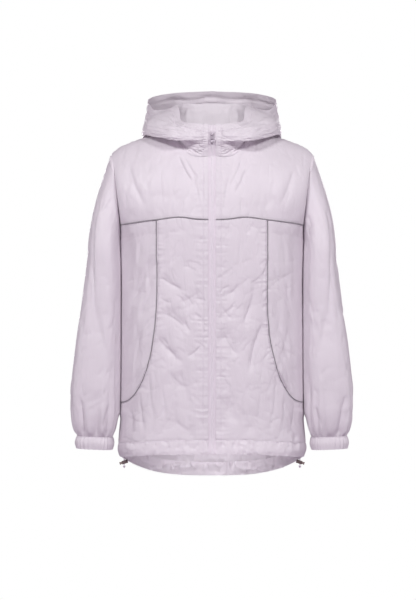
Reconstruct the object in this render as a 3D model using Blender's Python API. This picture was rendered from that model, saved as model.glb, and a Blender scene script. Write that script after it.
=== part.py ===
"""A hooded zip-front windbreaker, filled out as when it is worn, with nothing inside it.

Metres, +Z up. The front faces -Y, the wearer's left is +X, and the origin is the middle of the neck opening.
Every cloth piece is a thin wall, cut along the real seams of the garment.
A place on the body is a girth angle and a level. The angle is 0 at the middle of the front or back and a
quarter turn at the side. A level below 0 is metres below the armpit, and above 0 it is the share of the way
up to the shoulder ridge.
"""

import math

import bmesh
import bpy
import numpy as np
from mathutils import Matrix, Vector

# Cloth and seams
WALL = 0.0015
HEM_WALL = 0.0024
CUFF_WALL = 0.0026
SEAM_GAP = 0.0006
ARMHOLE_GAP = 0.0012
SHARPEST_MITRE = 0.45
CLEAR = 0.0003
QUARTER = math.pi / 2

# Body, from the hem to the shoulder ridge
ARMPIT_Z = -0.185
SECTION_POWER = 2.4
TRUNK_COLUMNS = ("z", "half_width", "front_depth", "back_depth")
TRUNK = (
    (-0.680, 0.180, 0.120, 0.116),
    (-0.640, 0.183, 0.122, 0.119),
    (-0.618, 0.184, 0.123, 0.120),
    (-0.603, 0.188, 0.126, 0.122),
    (-0.586, 0.187, 0.125, 0.121),
    (-0.540, 0.183, 0.123, 0.118),
    (-0.420, 0.181, 0.121, 0.114),
    (-0.300, 0.180, 0.122, 0.112),
    (-0.185, 0.180, 0.125, 0.112),
)
SHOULDER_X = 0.202
REACH_POWER = 1.4
NECK_X = 0.085
RIDGE_AT_NECK = 0.036
RIDGE_SLOPE = 0.345
RIDGE_DROOP = 0.012
RIDGE_DROOP_POWER = 9
ROUNDING = {"front": 2.2, "back": 2.4}
ARMHOLE_DEPTH = {"front": 0.060, "back": 0.064}
ARMHOLE_POWER = 2.2
ARMHOLE_START = 1.5
NECK_SHARE = {"front": 0.652, "back": 0.852}
NECK_POWER = {"front": 3.2, "back": 2.5}

# Seams of the front
ZIP_EDGE = 0.0075
YOKE_SEAM_COLUMNS = ("x", "z")
YOKE_SEAM = (
    (0.000, -0.149),
    (0.030, -0.148),
    (0.062, -0.144),
    (0.110, -0.149),
    (0.150, -0.1535),
    (0.185, -0.158),
)
CURVED_SEAM_X = 0.109
CURVED_SEAM_BEND_Z = -0.290
CURVED_SEAM_END_Z = -0.509
CURVED_SEAM_END = 0.9995
PANEL_FOOT_POWER = 4

# Hem, longer at the back
HEM_HEIGHT = 0.028
HEM_FRONT_Z = -0.607
HEM_SIDE_Z = -0.618
HEM_BACK_DROP = 0.047
HEM_BACK_POWER = 1.55

# Sleeve sections, each an oval ring
SLEEVE_POWER = 2.8
SLEEVE_COLUMNS = ("z", "outer_x", "inner_x", "middle_y", "half_depth")
SLEEVE = (
    (-0.602, 0.2695, 0.1985, -0.023, 0.0365),
    (-0.590, 0.2712, 0.1968, -0.0225, 0.0378),
    (-0.577, 0.2690, 0.1970, -0.022, 0.0370),
    (-0.559, 0.2745, 0.1915, -0.021, 0.0460),
    (-0.534, 0.2800, 0.1862, -0.020, 0.0540),
    (-0.496, 0.2815, 0.1845, -0.018, 0.0590),
    (-0.430, 0.2760, 0.1830, -0.014, 0.0630),
    (-0.368, 0.2685, 0.1825, -0.010, 0.0660),
    (-0.306, 0.2590, 0.1820, -0.006, 0.0690),
    (-0.260, 0.2535, 0.1823, -0.004, 0.0720),
    (-0.215, 0.2485, 0.1840, -0.002, 0.0750),
)
SLEEVE_TOP_Z = -0.215
CUFF_TOP_Z = -0.577
CUFF_BOTTOM_Z = -0.602
SLEEVE_LEAVES = (0.33, 0.0, -0.944)
CUFF_TILT = 0.0015

# Hood, through five rails from the neck seam to the rim, each a row per station round the neck
NECK_SIDE = 0.58
HOOD_STATIONS = (0.0, 0.2, 0.4, 0.58, 0.66, 0.74, 0.82, 0.90, 1.0)
HOOD_KNOTS = (0.0, 0.16, 0.345, 0.55, 0.775, 1.0)
HOOD_RAILS = {
    "stand_top": (
        (0.0075, -0.1025, -0.012),
        (0.0340, -0.0985, -0.012),
        (0.0640, -0.0690, 0.006),
        (0.0770, -0.0060, 0.058),
        (0.0760, 0.0220, 0.076),
        (0.0690, 0.0450, 0.085),
        (0.0550, 0.0630, 0.090),
        (0.0330, 0.0750, 0.092),
        (0.0000, 0.0800, 0.092),
    ),
    "inner_wall": (
        (0.0075, -0.1055, -0.001),
        (0.0355, -0.1040, -0.001),
        (0.0710, -0.0830, 0.008),
        (0.0970, -0.0120, 0.050),
        (0.1030, 0.0220, 0.058),
        (0.1030, 0.0560, 0.058),
        (0.0850, 0.0860, 0.044),
        (0.0480, 0.1060, 0.028),
        (0.0000, 0.1140, 0.020),
    ),
    "bottom_fold": (
        (0.0075, -0.1075, 0.011),
        (0.0380, -0.1140, 0.006),
        (0.0860, -0.1050, 0.008),
        (0.1330, -0.0260, 0.021),
        (0.1365, 0.0160, 0.021),
        (0.1365, 0.0600, 0.014),
        (0.1220, 0.1050, -0.014),
        (0.0720, 0.1370, -0.046),
        (0.0000, 0.1460, -0.062),
    ),
    "outer_wall": (
        (0.0075, -0.1055, 0.025),
        (0.0370, -0.1110, 0.025),
        (0.0820, -0.0980, 0.034),
        (0.1270, -0.0280, 0.052),
        (0.1345, 0.0180, 0.052),
        (0.1360, 0.0680, 0.051),
        (0.1345, 0.1130, 0.050),
        (0.0880, 0.1550, 0.036),
        (0.0000, 0.1700, 0.030),
    ),
    "rim": (
        (0.0075, -0.1000, 0.039),
        (0.0350, -0.0985, 0.041),
        (0.0605, -0.0780, 0.048),
        (0.0730, -0.0200, 0.080),
        (0.0960, 0.0150, 0.076),
        (0.1190, 0.0480, 0.079),
        (0.1295, 0.0830, 0.102),
        (0.0900, 0.1200, 0.1165),
        (0.0000, 0.1460, 0.124),
    ),
}
HOOD_SEAM = 0.86

# Mesh cells along each edge
NECK_CELLS = 5
INNER_SHOULDER_CELLS = 4
OUTER_SHOULDER_CELLS = 5
YOKE_ROWS = 7
ARMHOLE_ROWS = 2
SEAM_ROWS = 12
LOWER_ROWS = 2
HEM_ROWS = 2
BACK_ROWS = 8
BACK_NECK_CELLS = 6
HOOD_ROWS = 17
CAP_ROWS = 5
ARM_ROWS = 10
CUFF_ROWS = 2
DENSE = 400

# Piping and zip
PIPING_RADIUS = 0.0013
PIPING_END = 0.005
PIPING_LIFT = 0.0006
TAPE_INNER_X = 0.0026
TAPE_OUTER_X = 0.0115
TAPE_WALL = 0.0010
TAPE_GAP = 0.0006
CHAIN_HALF = 0.0023
CHAIN_DEPTH = 0.0002
CHAIN_WALL = 0.0026
ZIP_TOP_MARGIN = 0.0015

# Slider and pull tab, about the hinge on the slider's bridge
SLIDER_Z = 0.0190
SLIDER_OUTLINE = (
    (-0.0040, -0.0062),
    (0.0040, -0.0062),
    (0.0043, 0.0005),
    (0.0050, 0.0040),
    (0.0036, 0.0066),
    (-0.0036, 0.0066),
    (-0.0050, 0.0040),
    (-0.0043, 0.0005),
)
SLIDER_WALL = 0.0018
BRIDGE_HALF = 0.0012
BRIDGE_OUTLINE = (
    (0.0006, -0.0041),
    (-0.0028, -0.0032),
    (-0.0040, -0.0020),
    (-0.0040, 0.0020),
    (-0.0028, 0.0032),
    (0.0006, 0.0041),
    (0.0006, 0.0029),
    (-0.0020, 0.0022),
    (-0.0028, 0.0014),
    (-0.0028, -0.0014),
    (-0.0020, -0.0022),
    (0.0006, -0.0029),
)
HINGE_OUT = 0.0013
PULL_WALL = 0.0013
PULL_TOP = 0.0009
PULL_NECK = -0.0066
PULL_FLARE = -0.0086
PULL_BOTTOM = -0.0178
PULL_NECK_HALF = 0.0028
PULL_HALF = 0.0043
PULL_CORNER = 0.0022
BRIDGE_WINDOW = (0.0019, -0.0008, -0.0049)
GRIP_HOLE = (0.0026, 0.0014, -0.0112)

# Hem cord with its lock, on each side
CORD_RADIUS = 0.0010
CORD_ANGLE = math.radians(80.0)
CORD_EXIT_Z = -0.6035
CORD_STAND_OFF = 0.0016
CORD_ROUTE = (
    (0.0000, 0.0000),
    (0.0022, 0.0001),
    (0.0044, 0.0010),
    (0.0061, 0.0027),
    (0.0069, 0.0050),
    (0.0070, 0.0075),
    (0.0070, 0.0120),
    (0.0070, 0.0165),
    (0.0070, 0.0210),
    (0.0070, 0.0255),
    (0.0070, 0.0310),
)
LOCK_DOWN = 0.0250
LOCK_TILT = math.radians(17.0)
LOCK_RADIUS = 0.0034
LOCK_SPAN = (-0.0074, 0.0046)
BORE_RADIUS = 0.0024
BORE_END = -0.0060
CORD_HOLE_RADIUS = 0.0014
BUTTON_RADIUS = 0.0028
BUTTON_TRAVEL = 0.0020
BUTTON_HEAD = 0.0024
STEM_RADIUS = 0.0020
STEM_END = -0.0037
STEM_SLOT = (-0.0021, 0.0041, 0.0013)
KNOT_RADIUS = 0.0023
KNOT_STRETCH = 1.15
ROUND_SIDES = 24


def column(table, names, name):
    """One named column of a table."""
    return np.array([row[names.index(name)] for row in table])


def smooth(places, values, at):
    """The smooth curve through a table's rows; values may be numbers or points."""
    places = np.asarray(places, float)
    values = np.asarray(values, float)
    at = np.clip(np.asarray(at, float), places[0], places[-1])
    slopes = np.gradient(values, places, axis=0)
    low = np.clip(np.searchsorted(places, at) - 1, 0, len(places) - 2)
    step = places[low + 1] - places[low]
    share = (at - places[low]) / step
    extra = (1,) * (values.ndim - 1)
    step = step.reshape(step.shape + extra)
    share = share.reshape(share.shape + extra)
    rise = share * share * (3 - 2 * share)
    start = share * (1 - share) ** 2 * step
    end = share * share * (share - 1) * step
    return (1 - rise) * values[low] + rise * values[low + 1] + start * slopes[low] + end * slopes[low + 1]


def unit(vectors):
    return vectors / np.maximum(np.linalg.norm(vectors, axis=-1, keepdims=True), 1e-12)


def ridge(x):
    """Height of the shoulder ridge."""
    out = x - NECK_X
    droop = RIDGE_DROOP * (np.maximum(out, 0) / (SHOULDER_X - NECK_X)) ** RIDGE_DROOP_POWER
    return RIDGE_AT_NECK - RIDGE_SLOPE * out - droop


def trunk(name, z):
    return smooth(column(TRUNK, TRUNK_COLUMNS, "z"), column(TRUNK, TRUNK_COLUMNS, name), z)


def reach(level):
    """Half width of the body's front view."""
    low = trunk("half_width", ARMPIT_Z + np.minimum(level, 0))
    return low + (SHOULDER_X - low) * np.maximum(level, 0) ** REACH_POWER


def body(angle, level, facing):
    """Points of the body's outer face on the wearer's left half."""
    angle, level = np.broadcast_arrays(np.asarray(angle, float), np.asarray(level, float))
    share = np.clip(level, 0, 1)
    low_z = ARMPIT_Z + np.minimum(level, 0)
    across = np.abs(np.sin(angle)) ** (2 / SECTION_POWER)
    ahead = np.abs(np.cos(angle)) ** (2 / SECTION_POWER)
    power = ROUNDING[facing]
    depth = trunk(facing + "_depth", low_z) * (1 - share**power) ** (1 / power)
    loop = (1 - np.abs(2 * share - 1) ** ARMHOLE_POWER) ** (1 / ARMHOLE_POWER)
    gentle = np.abs(np.sin(math.pi * share)) ** ARMHOLE_START
    near_loop = (1 - ahead) ** 2
    edge = ARMHOLE_DEPTH[facing] * (near_loop * loop + (1 - near_loop) * gentle)
    x = across * reach(level)
    y = edge + (depth - edge) * ahead
    z = np.where(level <= 0, low_z, ARMPIT_Z + share * (ridge(x) - ARMPIT_Z))
    return np.stack([x, -y if facing == "front" else y, z], axis=-1)


def level_at(angle, z):
    """The level of a height on one girth angle."""
    across = np.abs(np.sin(angle)) ** (2 / SECTION_POWER)
    share = np.zeros(np.broadcast(angle, z).shape)
    for _ in range(20):
        share = np.clip((z - ARMPIT_Z) / (ridge(across * reach(share)) - ARMPIT_Z), 0, 1)
    return np.where(z <= ARMPIT_Z, z - ARMPIT_Z, share)


def angle_of(x, level):
    """The girth angle at which the body is x wide."""
    return np.arcsin(np.clip(x / reach(level), 0, 1) ** (SECTION_POWER / 2))


def yoke_level(angle):
    """The level of the yoke seam on a girth angle."""
    xs = column(YOKE_SEAM, YOKE_SEAM_COLUMNS, "x")
    zs = column(YOKE_SEAM, YOKE_SEAM_COLUMNS, "z")
    across = np.abs(np.sin(angle)) ** (2 / SECTION_POWER)
    share = np.full(np.shape(angle), 0.15)
    for _ in range(20):
        x = across * reach(share)
        share = (smooth(xs, zs, x) - ARMPIT_Z) / (ridge(x) - ARMPIT_Z)
    return share


NECK_ACROSS = NECK_X / SHOULDER_X
NECK_ANGLE = math.asin(NECK_ACROSS ** (SECTION_POWER / 2))


def top_level(angle, facing):
    """The level of the neck seam, or the ridge outside it."""
    across = np.abs(np.sin(angle)) ** (2 / SECTION_POWER)
    share = np.clip(across / NECK_ACROSS, 0, 1)
    low = NECK_SHARE[facing]
    return low + (1 - low) * share ** NECK_POWER[facing]


def curved_seam_course():
    """Girth angles and heights down the curved seam, with the share of its length at each."""
    top = float(yoke_level(angle_of(CURVED_SEAM_X, 0.15)))
    top_angle = angle_of(CURVED_SEAM_X, top)
    top_z = body(top_angle, top, "front")[2]
    side = trunk("half_width", CURVED_SEAM_END_Z) * CURVED_SEAM_END
    turn = np.linspace(0, QUARTER, DENSE)
    z = np.concatenate([
        np.linspace(top_z, CURVED_SEAM_BEND_Z, DENSE)[:-1],
        CURVED_SEAM_BEND_Z + (CURVED_SEAM_END_Z - CURVED_SEAM_BEND_Z) * np.sin(turn),
    ])
    x = np.concatenate([
        np.full(DENSE - 1, CURVED_SEAM_X),
        CURVED_SEAM_X + (side - CURVED_SEAM_X) * (1 - np.cos(turn)),
    ])
    angle = angle_of(x, level_at(angle_of(x, 0.0), z))
    points = body(angle, level_at(angle, z), "front")
    length = np.concatenate([[0], np.cumsum(np.linalg.norm(np.diff(points, axis=0), axis=1))])
    return angle, z, length / length[-1]


SEAM_ANGLES, SEAM_HEIGHTS, SEAM_SHARES = curved_seam_course()


def curved_seam(share):
    return np.interp(share, SEAM_SHARES, SEAM_ANGLES), np.interp(share, SEAM_SHARES, SEAM_HEIGHTS)


def zip_angle(level):
    return angle_of(ZIP_EDGE, level)


def steps(*runs):
    """Evenly spaced values through runs of (start, end, cells), each run sharing its end with the next."""
    values = [np.linspace(start, end, cells + 1)[:-1] for start, end, cells in runs]
    return np.concatenate(values + [[runs[-1][1]]])


def hem_bottom(angle, facing):
    """Height of the hem's lower edge."""
    if facing == "front":
        return HEM_FRONT_Z + (HEM_SIDE_Z - HEM_FRONT_Z) * np.sin(angle) ** 2
    return HEM_SIDE_Z - HEM_BACK_DROP * (1 - np.sin(angle) ** 2 * (angle / QUARTER) ** (HEM_BACK_POWER - 1))


def yoke_angles():
    """Girth angles of the yoke's columns at its seam."""
    start = zip_angle(NECK_SHARE["front"] / 4)
    return steps(
        (start, NECK_ANGLE, NECK_CELLS),
        (NECK_ANGLE, SEAM_ANGLES[0], INNER_SHOULDER_CELLS),
        (SEAM_ANGLES[0], QUARTER, OUTER_SHOULDER_CELLS),
    )


def at_zip(points):
    """The piece with its first column on the zip edge exactly."""
    points[:, 0, 0] = ZIP_EDGE
    return points


def yoke():
    angle = yoke_angles()[None, :]
    low = yoke_level(angle)
    rise = np.sin(np.linspace(0, QUARTER, YOKE_ROWS + 1))[:, None]
    return at_zip(body(angle, low + (top_level(angle, "front") - low) * rise, "front"))


def filled(left, right, top, bottom, bottom_power=1):
    """Girth angles and heights inside four edges; the power keeps the lower edge's bends low."""
    down = np.linspace(0, 1, len(left[0]))[:, None]
    over = np.linspace(0, 1, len(top[0]))[None, :]
    sheets = []
    for side_a, side_b, end_a, end_b in zip(left, right, top, bottom):
        ruled = (1 - over) * side_a[:, None] + over * side_b[:, None]
        top_bend = end_a[None, :] - (1 - over) * end_a[0] - over * end_a[-1]
        bottom_bend = end_b[None, :] - (1 - over) * end_b[0] - over * end_b[-1]
        sheets.append(ruled + (1 - down) * top_bend + down**bottom_power * bottom_bend)
    return sheets


def yoke_edge(first, last):
    angle = yoke_angles()[first : last + 1]
    return angle, body(angle, yoke_level(angle), "front")[:, 2]


def front_panel():
    """From the yoke seam down; its lower edge runs along the hem and up the side seam to the curved seam."""
    inner = NECK_CELLS + INNER_SHOULDER_CELLS
    top = yoke_edge(0, inner)
    right = curved_seam(np.linspace(0, 1, SEAM_ROWS + 1))
    hem_angle = front_hem_angles()
    hem_z = hem_bottom(hem_angle, "front") + HEM_HEIGHT
    side_z = np.linspace(hem_z[-1], CURVED_SEAM_END_Z, LOWER_ROWS + 1)[1:]
    side_angle = np.full(LOWER_ROWS, QUARTER)
    side_angle[-1] = right[0][-1]
    bottom = (np.append(hem_angle, side_angle), np.append(hem_z, side_z))
    left_z = np.linspace(top[1][0], hem_z[0], SEAM_ROWS + 1)
    left_angle = np.linspace(top[0][0], hem_angle[0], len(left_z))
    angle, z = filled((left_angle, left_z), right, top, bottom, PANEL_FOOT_POWER)
    angle = np.clip(angle, 0, QUARTER)
    return at_zip(body(angle, level_at(angle, z), "front"))


def front_hem_angles():
    """Girth angles along the top of the front hem, from the zip to the side seam."""
    cells = NECK_CELLS + INNER_SHOULDER_CELLS - LOWER_ROWS
    return np.linspace(float(zip_angle(HEM_FRONT_Z - ARMPIT_Z)), QUARTER, cells + 1)


def side_edge_levels():
    """Levels down the front armhole edge from the yoke, then down the side seam."""
    rest = 1 - np.linspace(0, 1, ARMHOLE_ROWS + 1)
    arm = yoke_level(QUARTER) * rest**2
    low = np.linspace(0, CURVED_SEAM_END_Z - ARMPIT_Z, SEAM_ROWS - ARMHOLE_ROWS + 1)
    return np.append(arm, low[1:])


def side_panel():
    inner = NECK_CELLS + INNER_SHOULDER_CELLS
    top = yoke_edge(inner, inner + OUTER_SHOULDER_CELLS)
    left = curved_seam(np.linspace(0, 1, SEAM_ROWS + 1))
    levels = side_edge_levels()
    right = (np.full(len(levels), QUARTER), body(QUARTER, levels, "front")[:, 2])
    bottom_angle = np.linspace(left[0][-1], QUARTER, OUTER_SHOULDER_CELLS + 1)
    bottom = (bottom_angle, np.full(len(bottom_angle), CURVED_SEAM_END_Z))
    angle, z = filled(left, right, top, bottom)
    angle = np.clip(angle, 0, QUARTER)
    return body(angle, level_at(angle, z), "front")


def both_halves(half):
    """A piece across the middle, from its wearer's-left half that ends on the middle."""
    return np.concatenate([half, half[:, -2::-1] * (-1, 1, 1)], axis=1)


def back_angles():
    """Girth angles from the side seam to the middle of the back."""
    outer = yoke_angles()[NECK_CELLS:][::-1]
    return np.append(outer, np.linspace(NECK_ANGLE, 0, BACK_NECK_CELLS + 1)[1:])


def back_panel():
    angle = back_angles()[None, :]
    rise = np.sin(np.linspace(QUARTER, 0, BACK_ROWS + 1))[:-1, None]
    upper = top_level(angle, "back") * rise
    trunk_levels = side_edge_levels()[ARMHOLE_ROWS:]
    middle = np.broadcast_to(trunk_levels[:, None], (len(trunk_levels), angle.shape[1]))
    hem_level = hem_bottom(angle, "back") + HEM_HEIGHT - ARMPIT_Z
    share = np.linspace(0, 1, LOWER_ROWS + 1)[1:, None]
    lower = trunk_levels[-1] + (hem_level - trunk_levels[-1]) * share
    return both_halves(body(angle, np.concatenate([upper, middle, lower]), "back"))


def hem(facing):
    """The hem tunnel under one front panel, or across the whole back."""
    if facing == "front":
        angle = front_hem_angles()[None, :]
    else:
        angle = back_angles()[None, :]
    drop = np.linspace(1, 0, HEM_ROWS + 1)[:, None]
    points = body(angle, hem_bottom(angle, facing) + HEM_HEIGHT * drop - ARMPIT_Z, facing)
    return at_zip(points) if facing == "front" else both_halves(points)


def armhole_turns():
    """Turns round the armhole, from the shoulder tip over the front to the armpit and up the back."""
    low = yoke_level(QUARTER)
    rise = np.sin(np.linspace(QUARTER, 0, YOKE_ROWS + 1))
    front = np.append(low + (1 - low) * rise, side_edge_levels()[1 : ARMHOLE_ROWS + 1])
    back = np.sin(np.linspace(0, QUARTER, BACK_ROWS + 1))[1:-1]
    front_turn = np.arccos(np.clip(2 * front - 1, -1, 1))
    back_turn = 2 * math.pi - np.arccos(np.clip(2 * back - 1, -1, 1))
    return np.append(front_turn, back_turn)


def armhole(turn):
    level = (1 + np.cos(turn)) / 2
    front = body(QUARTER, level, "front")
    back = body(QUARTER, level, "back")
    return np.where((turn <= math.pi)[:, None], front, back)


def arm_ring(turn, z):
    """One oval ring of the sleeve."""
    heights = column(SLEEVE, SLEEVE_COLUMNS, "z")
    outer, inner, middle_y, half_depth = (
        smooth(heights, column(SLEEVE, SLEEVE_COLUMNS, name), z) for name in SLEEVE_COLUMNS[1:]
    )
    swing = np.sign(np.cos(turn)) * np.abs(np.cos(turn)) ** (2 / SLEEVE_POWER)
    sway = np.sign(np.sin(turn)) * np.abs(np.sin(turn)) ** (2 / SLEEVE_POWER)
    x = (outer + inner) / 2 + (outer - inner) / 2 * swing
    y = middle_y - half_depth * sway
    tilt = CUFF_TILT * np.clip((SLEEVE_TOP_Z - z) / (SLEEVE_TOP_Z - CUFF_TOP_Z), 0, 1)
    return np.stack([x, y, z + tilt * swing], axis=-1)


def sleeve():
    turn = armhole_turns()
    start = armhole(turn)
    end = arm_ring(turn, SLEEVE_TOP_Z)
    span = np.linalg.norm(end - start, axis=1)[:, None]
    leave = np.array(SLEEVE_LEAVES) * span
    arrive = np.array((0.0, 0.0, -1.0)) * span
    rings = []
    for share in np.linspace(0, 1, CAP_ROWS + 1)[:-1]:
        rise = share * share * (3 - 2 * share)
        curve = share * (1 - share) ** 2 * leave + share * share * (share - 1) * arrive
        rings.append((1 - rise) * start + rise * end + curve)
    for z in np.linspace(SLEEVE_TOP_Z, CUFF_TOP_Z, ARM_ROWS + 1):
        rings.append(arm_ring(turn, z))
    return np.array(rings)


def cuff():
    turn = armhole_turns()
    return np.array([arm_ring(turn, z) for z in np.linspace(CUFF_TOP_Z, CUFF_BOTTOM_Z, CUFF_ROWS + 1)])


def hood_places():
    """Places round the neck from the zip edge to the middle of the back."""
    return steps((0.0, NECK_SIDE, NECK_CELLS), (NECK_SIDE, 1.0, BACK_NECK_CELLS))


def hood():
    """The wearer's-left half of the hood, from the neck seam to the rim."""
    places = hood_places()
    neck = np.concatenate([yoke()[-1, : NECK_CELLS + 1], neck_back()])
    rails = [neck] + [smooth(HOOD_STATIONS, rail, places) for rail in HOOD_RAILS.values()]
    points = smooth(HOOD_KNOTS, np.array(rails), np.linspace(0, 1, HOOD_ROWS + 1))
    points[:, -1, 0] = 0.0
    return at_zip(points)


def neck_back():
    """The back neck seam, from beside the shoulder seam to the middle."""
    angle = np.linspace(NECK_ANGLE, 0, BACK_NECK_CELLS + 1)[1:]
    return body(angle, top_level(angle, "back"), "back")


def grid_normals(points, closed):
    wrapped = np.concatenate([points[:, -1:], points, points[:, :1]], axis=1) if closed else points
    down = np.gradient(wrapped, axis=0)
    over = np.gradient(wrapped, axis=1)
    normals = unit(np.cross(down, over))
    return normals[:, 1:-1] if closed else normals


class Panel:
    """A cloth piece: a grid of points on its outer face, and the way out at each."""

    def __init__(self, points, look_from, wall=WALL, closed=False, gap=SEAM_GAP):
        self.points = points
        self.wall = wall
        self.closed = closed
        self.gap = gap
        self.normals = grid_normals(points, closed)
        row, place, way = look_from
        if np.dot(self.normals[row, place], way) < 0:
            self.normals = -self.normals

    def mirrored(self):
        other = Panel.__new__(Panel)
        other.points = self.points[:, ::-1] * (-1, 1, 1)
        other.normals = self.normals[:, ::-1] * (-1, 1, 1)
        other.wall = self.wall
        other.closed = self.closed
        other.gap = self.gap
        return other

    def edge_places(self):
        rows, cells = self.points.shape[:2]
        for row in range(rows):
            for place in range(cells):
                if row in (0, rows - 1) or (not self.closed and place in (0, cells - 1)):
                    yield row, place


def cut_panels():
    """Every cloth piece by name."""
    ahead = (0, -1, 0)
    behind = (0, 1, 0)
    out = (1, 0, 0)
    half_hood = hood()
    seam = int(np.argmin(np.abs(hood_places() - HOOD_SEAM)))
    left = {
        "front_yoke": Panel(yoke(), (0, 2, ahead)),
        "front_panel": Panel(front_panel(), (3, 2, ahead)),
        "side_panel": Panel(side_panel(), (4, 1, ahead)),
        "hem_front": Panel(hem("front"), (0, 2, ahead), HEM_WALL),
        "sleeve": Panel(sleeve(), (CAP_ROWS + 2, 0, out), closed=True, gap=ARMHOLE_GAP),
        "cuff": Panel(cuff(), (1, 0, out), CUFF_WALL, closed=True),
        "hood_side": Panel(half_hood[:, : seam + 1], (HOOD_ROWS // 2, 0, ahead)),
    }
    panels = {}
    for name, panel in left.items():
        panels[name + "_left"] = panel
        panels[name + "_right"] = panel.mirrored()
    middle = both_halves(half_hood[:, seam:])
    panels["back_panel"] = Panel(back_panel(), (BACK_ROWS + 2, len(back_angles()), behind))
    panels["hem_back"] = Panel(hem("back"), (0, len(back_angles()), behind), HEM_WALL)
    panels["hood_centre"] = Panel(middle, (HOOD_ROWS - 3, BACK_NECK_CELLS // 2 - 1, behind))
    return panels


def sew(panels):
    """Gives pieces that meet at a seam the same way out there, except in a sharp hollow such as the armpit."""
    meeting = {}
    for panel in panels.values():
        for row, place in panel.edge_places():
            key = tuple(np.round(panel.points[row, place] * 1e5).astype(int))
            meeting.setdefault(key, []).append((panel, row, place))
    for group in meeting.values():
        ways = [panel.normals[row, place] for panel, row, place in group]
        shared = unit(sum(ways))
        if min(np.dot(shared, way) for way in ways) < SHARPEST_MITRE:
            continue
        for panel, row, place in group:
            panel.normals[row, place] = shared


def drawn_back(points, closed, gap):
    """The grid with its edges drawn back by half a seam gap."""
    back = points.copy()
    back[0] += unit(points[1] - points[0]) * gap / 2
    back[-1] += unit(points[-2] - points[-1]) * gap / 2
    if not closed:
        back[:, 0] += unit(points[:, 1] - points[:, 0]) * gap / 2
        back[:, -1] += unit(points[:, -2] - points[:, -1]) * gap / 2
    return back


def material(name, colour, roughness, metallic=0.0):
    made = bpy.data.materials.new(name)
    made.use_nodes = True
    shader = made.node_tree.nodes["Principled BSDF"]
    shader.inputs["Base Color"].default_value = (*colour, 1.0)
    shader.inputs["Roughness"].default_value = roughness
    shader.inputs["Metallic"].default_value = metallic
    return made


def new_object(name, data, look):
    made = bpy.data.objects.new(name, data)
    bpy.context.scene.collection.objects.link(made)
    data.materials.append(material(name, *look))
    return made


def mesh_object(name, shape, look, smooth_faces=True):
    """An object from a bmesh, with its faces turned out."""
    bmesh.ops.recalc_face_normals(shape, faces=shape.faces)
    mesh = bpy.data.meshes.new(name)
    shape.to_mesh(mesh)
    shape.free()
    mesh.polygons.foreach_set("use_smooth", [smooth_faces] * len(mesh.polygons))
    return new_object(name, mesh, look)


def walled(name, outer, inner, closed, look):
    """A closed wall between two grids."""
    rows, cells = outer.shape[:2]
    shape = bmesh.new()
    sheets = [[[shape.verts.new(point) for point in row] for row in grid] for grid in (outer, inner)]
    last = cells if closed else cells - 1

    def face(*corners):
        shape.faces.new([sheets[sheet][row][place % cells] for sheet, row, place in corners])

    for place in range(last):
        for row in range(rows - 1):
            for sheet in (0, 1):
                ends = ((sheet, row, place), (sheet, row, place + 1))
                face(*ends, (sheet, row + 1, place + 1), (sheet, row + 1, place))
        for row in (0, rows - 1):
            face((0, row, place), (0, row, place + 1), (1, row, place + 1), (1, row, place))
    if not closed:
        for place in (0, cells - 1):
            for row in range(rows - 1):
                face((0, row, place), (0, row + 1, place), (1, row + 1, place), (1, row, place))
    return mesh_object(name, shape, look)


CLOTH = ((0.74, 0.66, 0.75), 0.55)
PIPING = ((0.30, 0.27, 0.31), 0.40)
TAPE = ((0.76, 0.70, 0.77), 0.65)
CHAIN = ((0.80, 0.76, 0.82), 0.45)
METAL = ((0.72, 0.69, 0.74), 0.30, 0.9)
CORD = ((0.72, 0.64, 0.73), 0.75)
LOCK = ((0.15, 0.10, 0.10), 0.38)
BUTTON = ((0.30, 0.22, 0.20), 0.35)


def build_cloth(panels):
    for name, panel in panels.items():
        outer = drawn_back(panel.points, panel.closed, panel.gap)
        inner = drawn_back(panel.points - panel.normals * panel.wall, panel.closed, panel.gap)
        walled(name, outer, inner, panel.closed, CLOTH)


def tube(name, points, radius, look):
    """A round cord through the points."""
    curve = bpy.data.curves.new(name, "CURVE")
    curve.dimensions = "3D"
    curve.bevel_depth = radius
    curve.bevel_resolution = 2
    curve.use_fill_caps = True
    spline = curve.splines.new("POLY")
    spline.points.add(len(points) - 1)
    for place, point in zip(spline.points, points):
        place.co = (*point, 1.0)
    return new_object(name, curve, look)


def trimmed(points, start, end):
    """The line with its first and last points moved in by these lengths."""
    line = points.copy()
    line[0] += unit(points[1] - points[0]) * start
    line[-1] += unit(points[-2] - points[-1]) * end
    return line


def build_piping(panels):
    lift = PIPING_RADIUS + PIPING_LIFT
    crossing = 2 * PIPING_RADIUS + CLEAR
    for side in ("left", "right"):
        yoke_panel = panels["front_yoke_" + side]
        line = yoke_panel.points[0] + yoke_panel.normals[0] * lift
        ends = (0.0, PIPING_END) if side == "left" else (PIPING_END, 0.0)
        tube("piping_yoke_" + side, trimmed(line, *ends), PIPING_RADIUS, PIPING)
        edge = 0 if side == "left" else -1
        side_piece = panels["side_panel_" + side]
        line = side_piece.points[:, edge] + side_piece.normals[:, edge] * lift
        tube("piping_side_" + side, trimmed(line, crossing, PIPING_END), PIPING_RADIUS, PIPING)


def zip_course(panels):
    """Points up the wearer's-left zip edge from hem to rim, with the wall and the way out at each."""
    names = ("hem_front_left", "front_panel_left", "front_yoke_left", "hood_side_left")
    points, walls = [], []
    for name in names:
        edge = panels[name].points[:, 0]
        edge = edge if edge[-1, 2] > edge[0, 2] else edge[::-1]
        fresh = edge if not points else edge[1:]
        points.extend(fresh)
        walls.extend([panels[name].wall] * len(fresh))
    points = np.array(points)
    points[-1] += unit(points[-2] - points[-1]) * ZIP_TOP_MARGIN
    along = unit(np.gradient(points, axis=0) * (0, 1, 1))
    ways = np.stack([np.zeros(len(along)), -along[:, 2], along[:, 1]], axis=-1)
    return points, np.array(walls), ways


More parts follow.
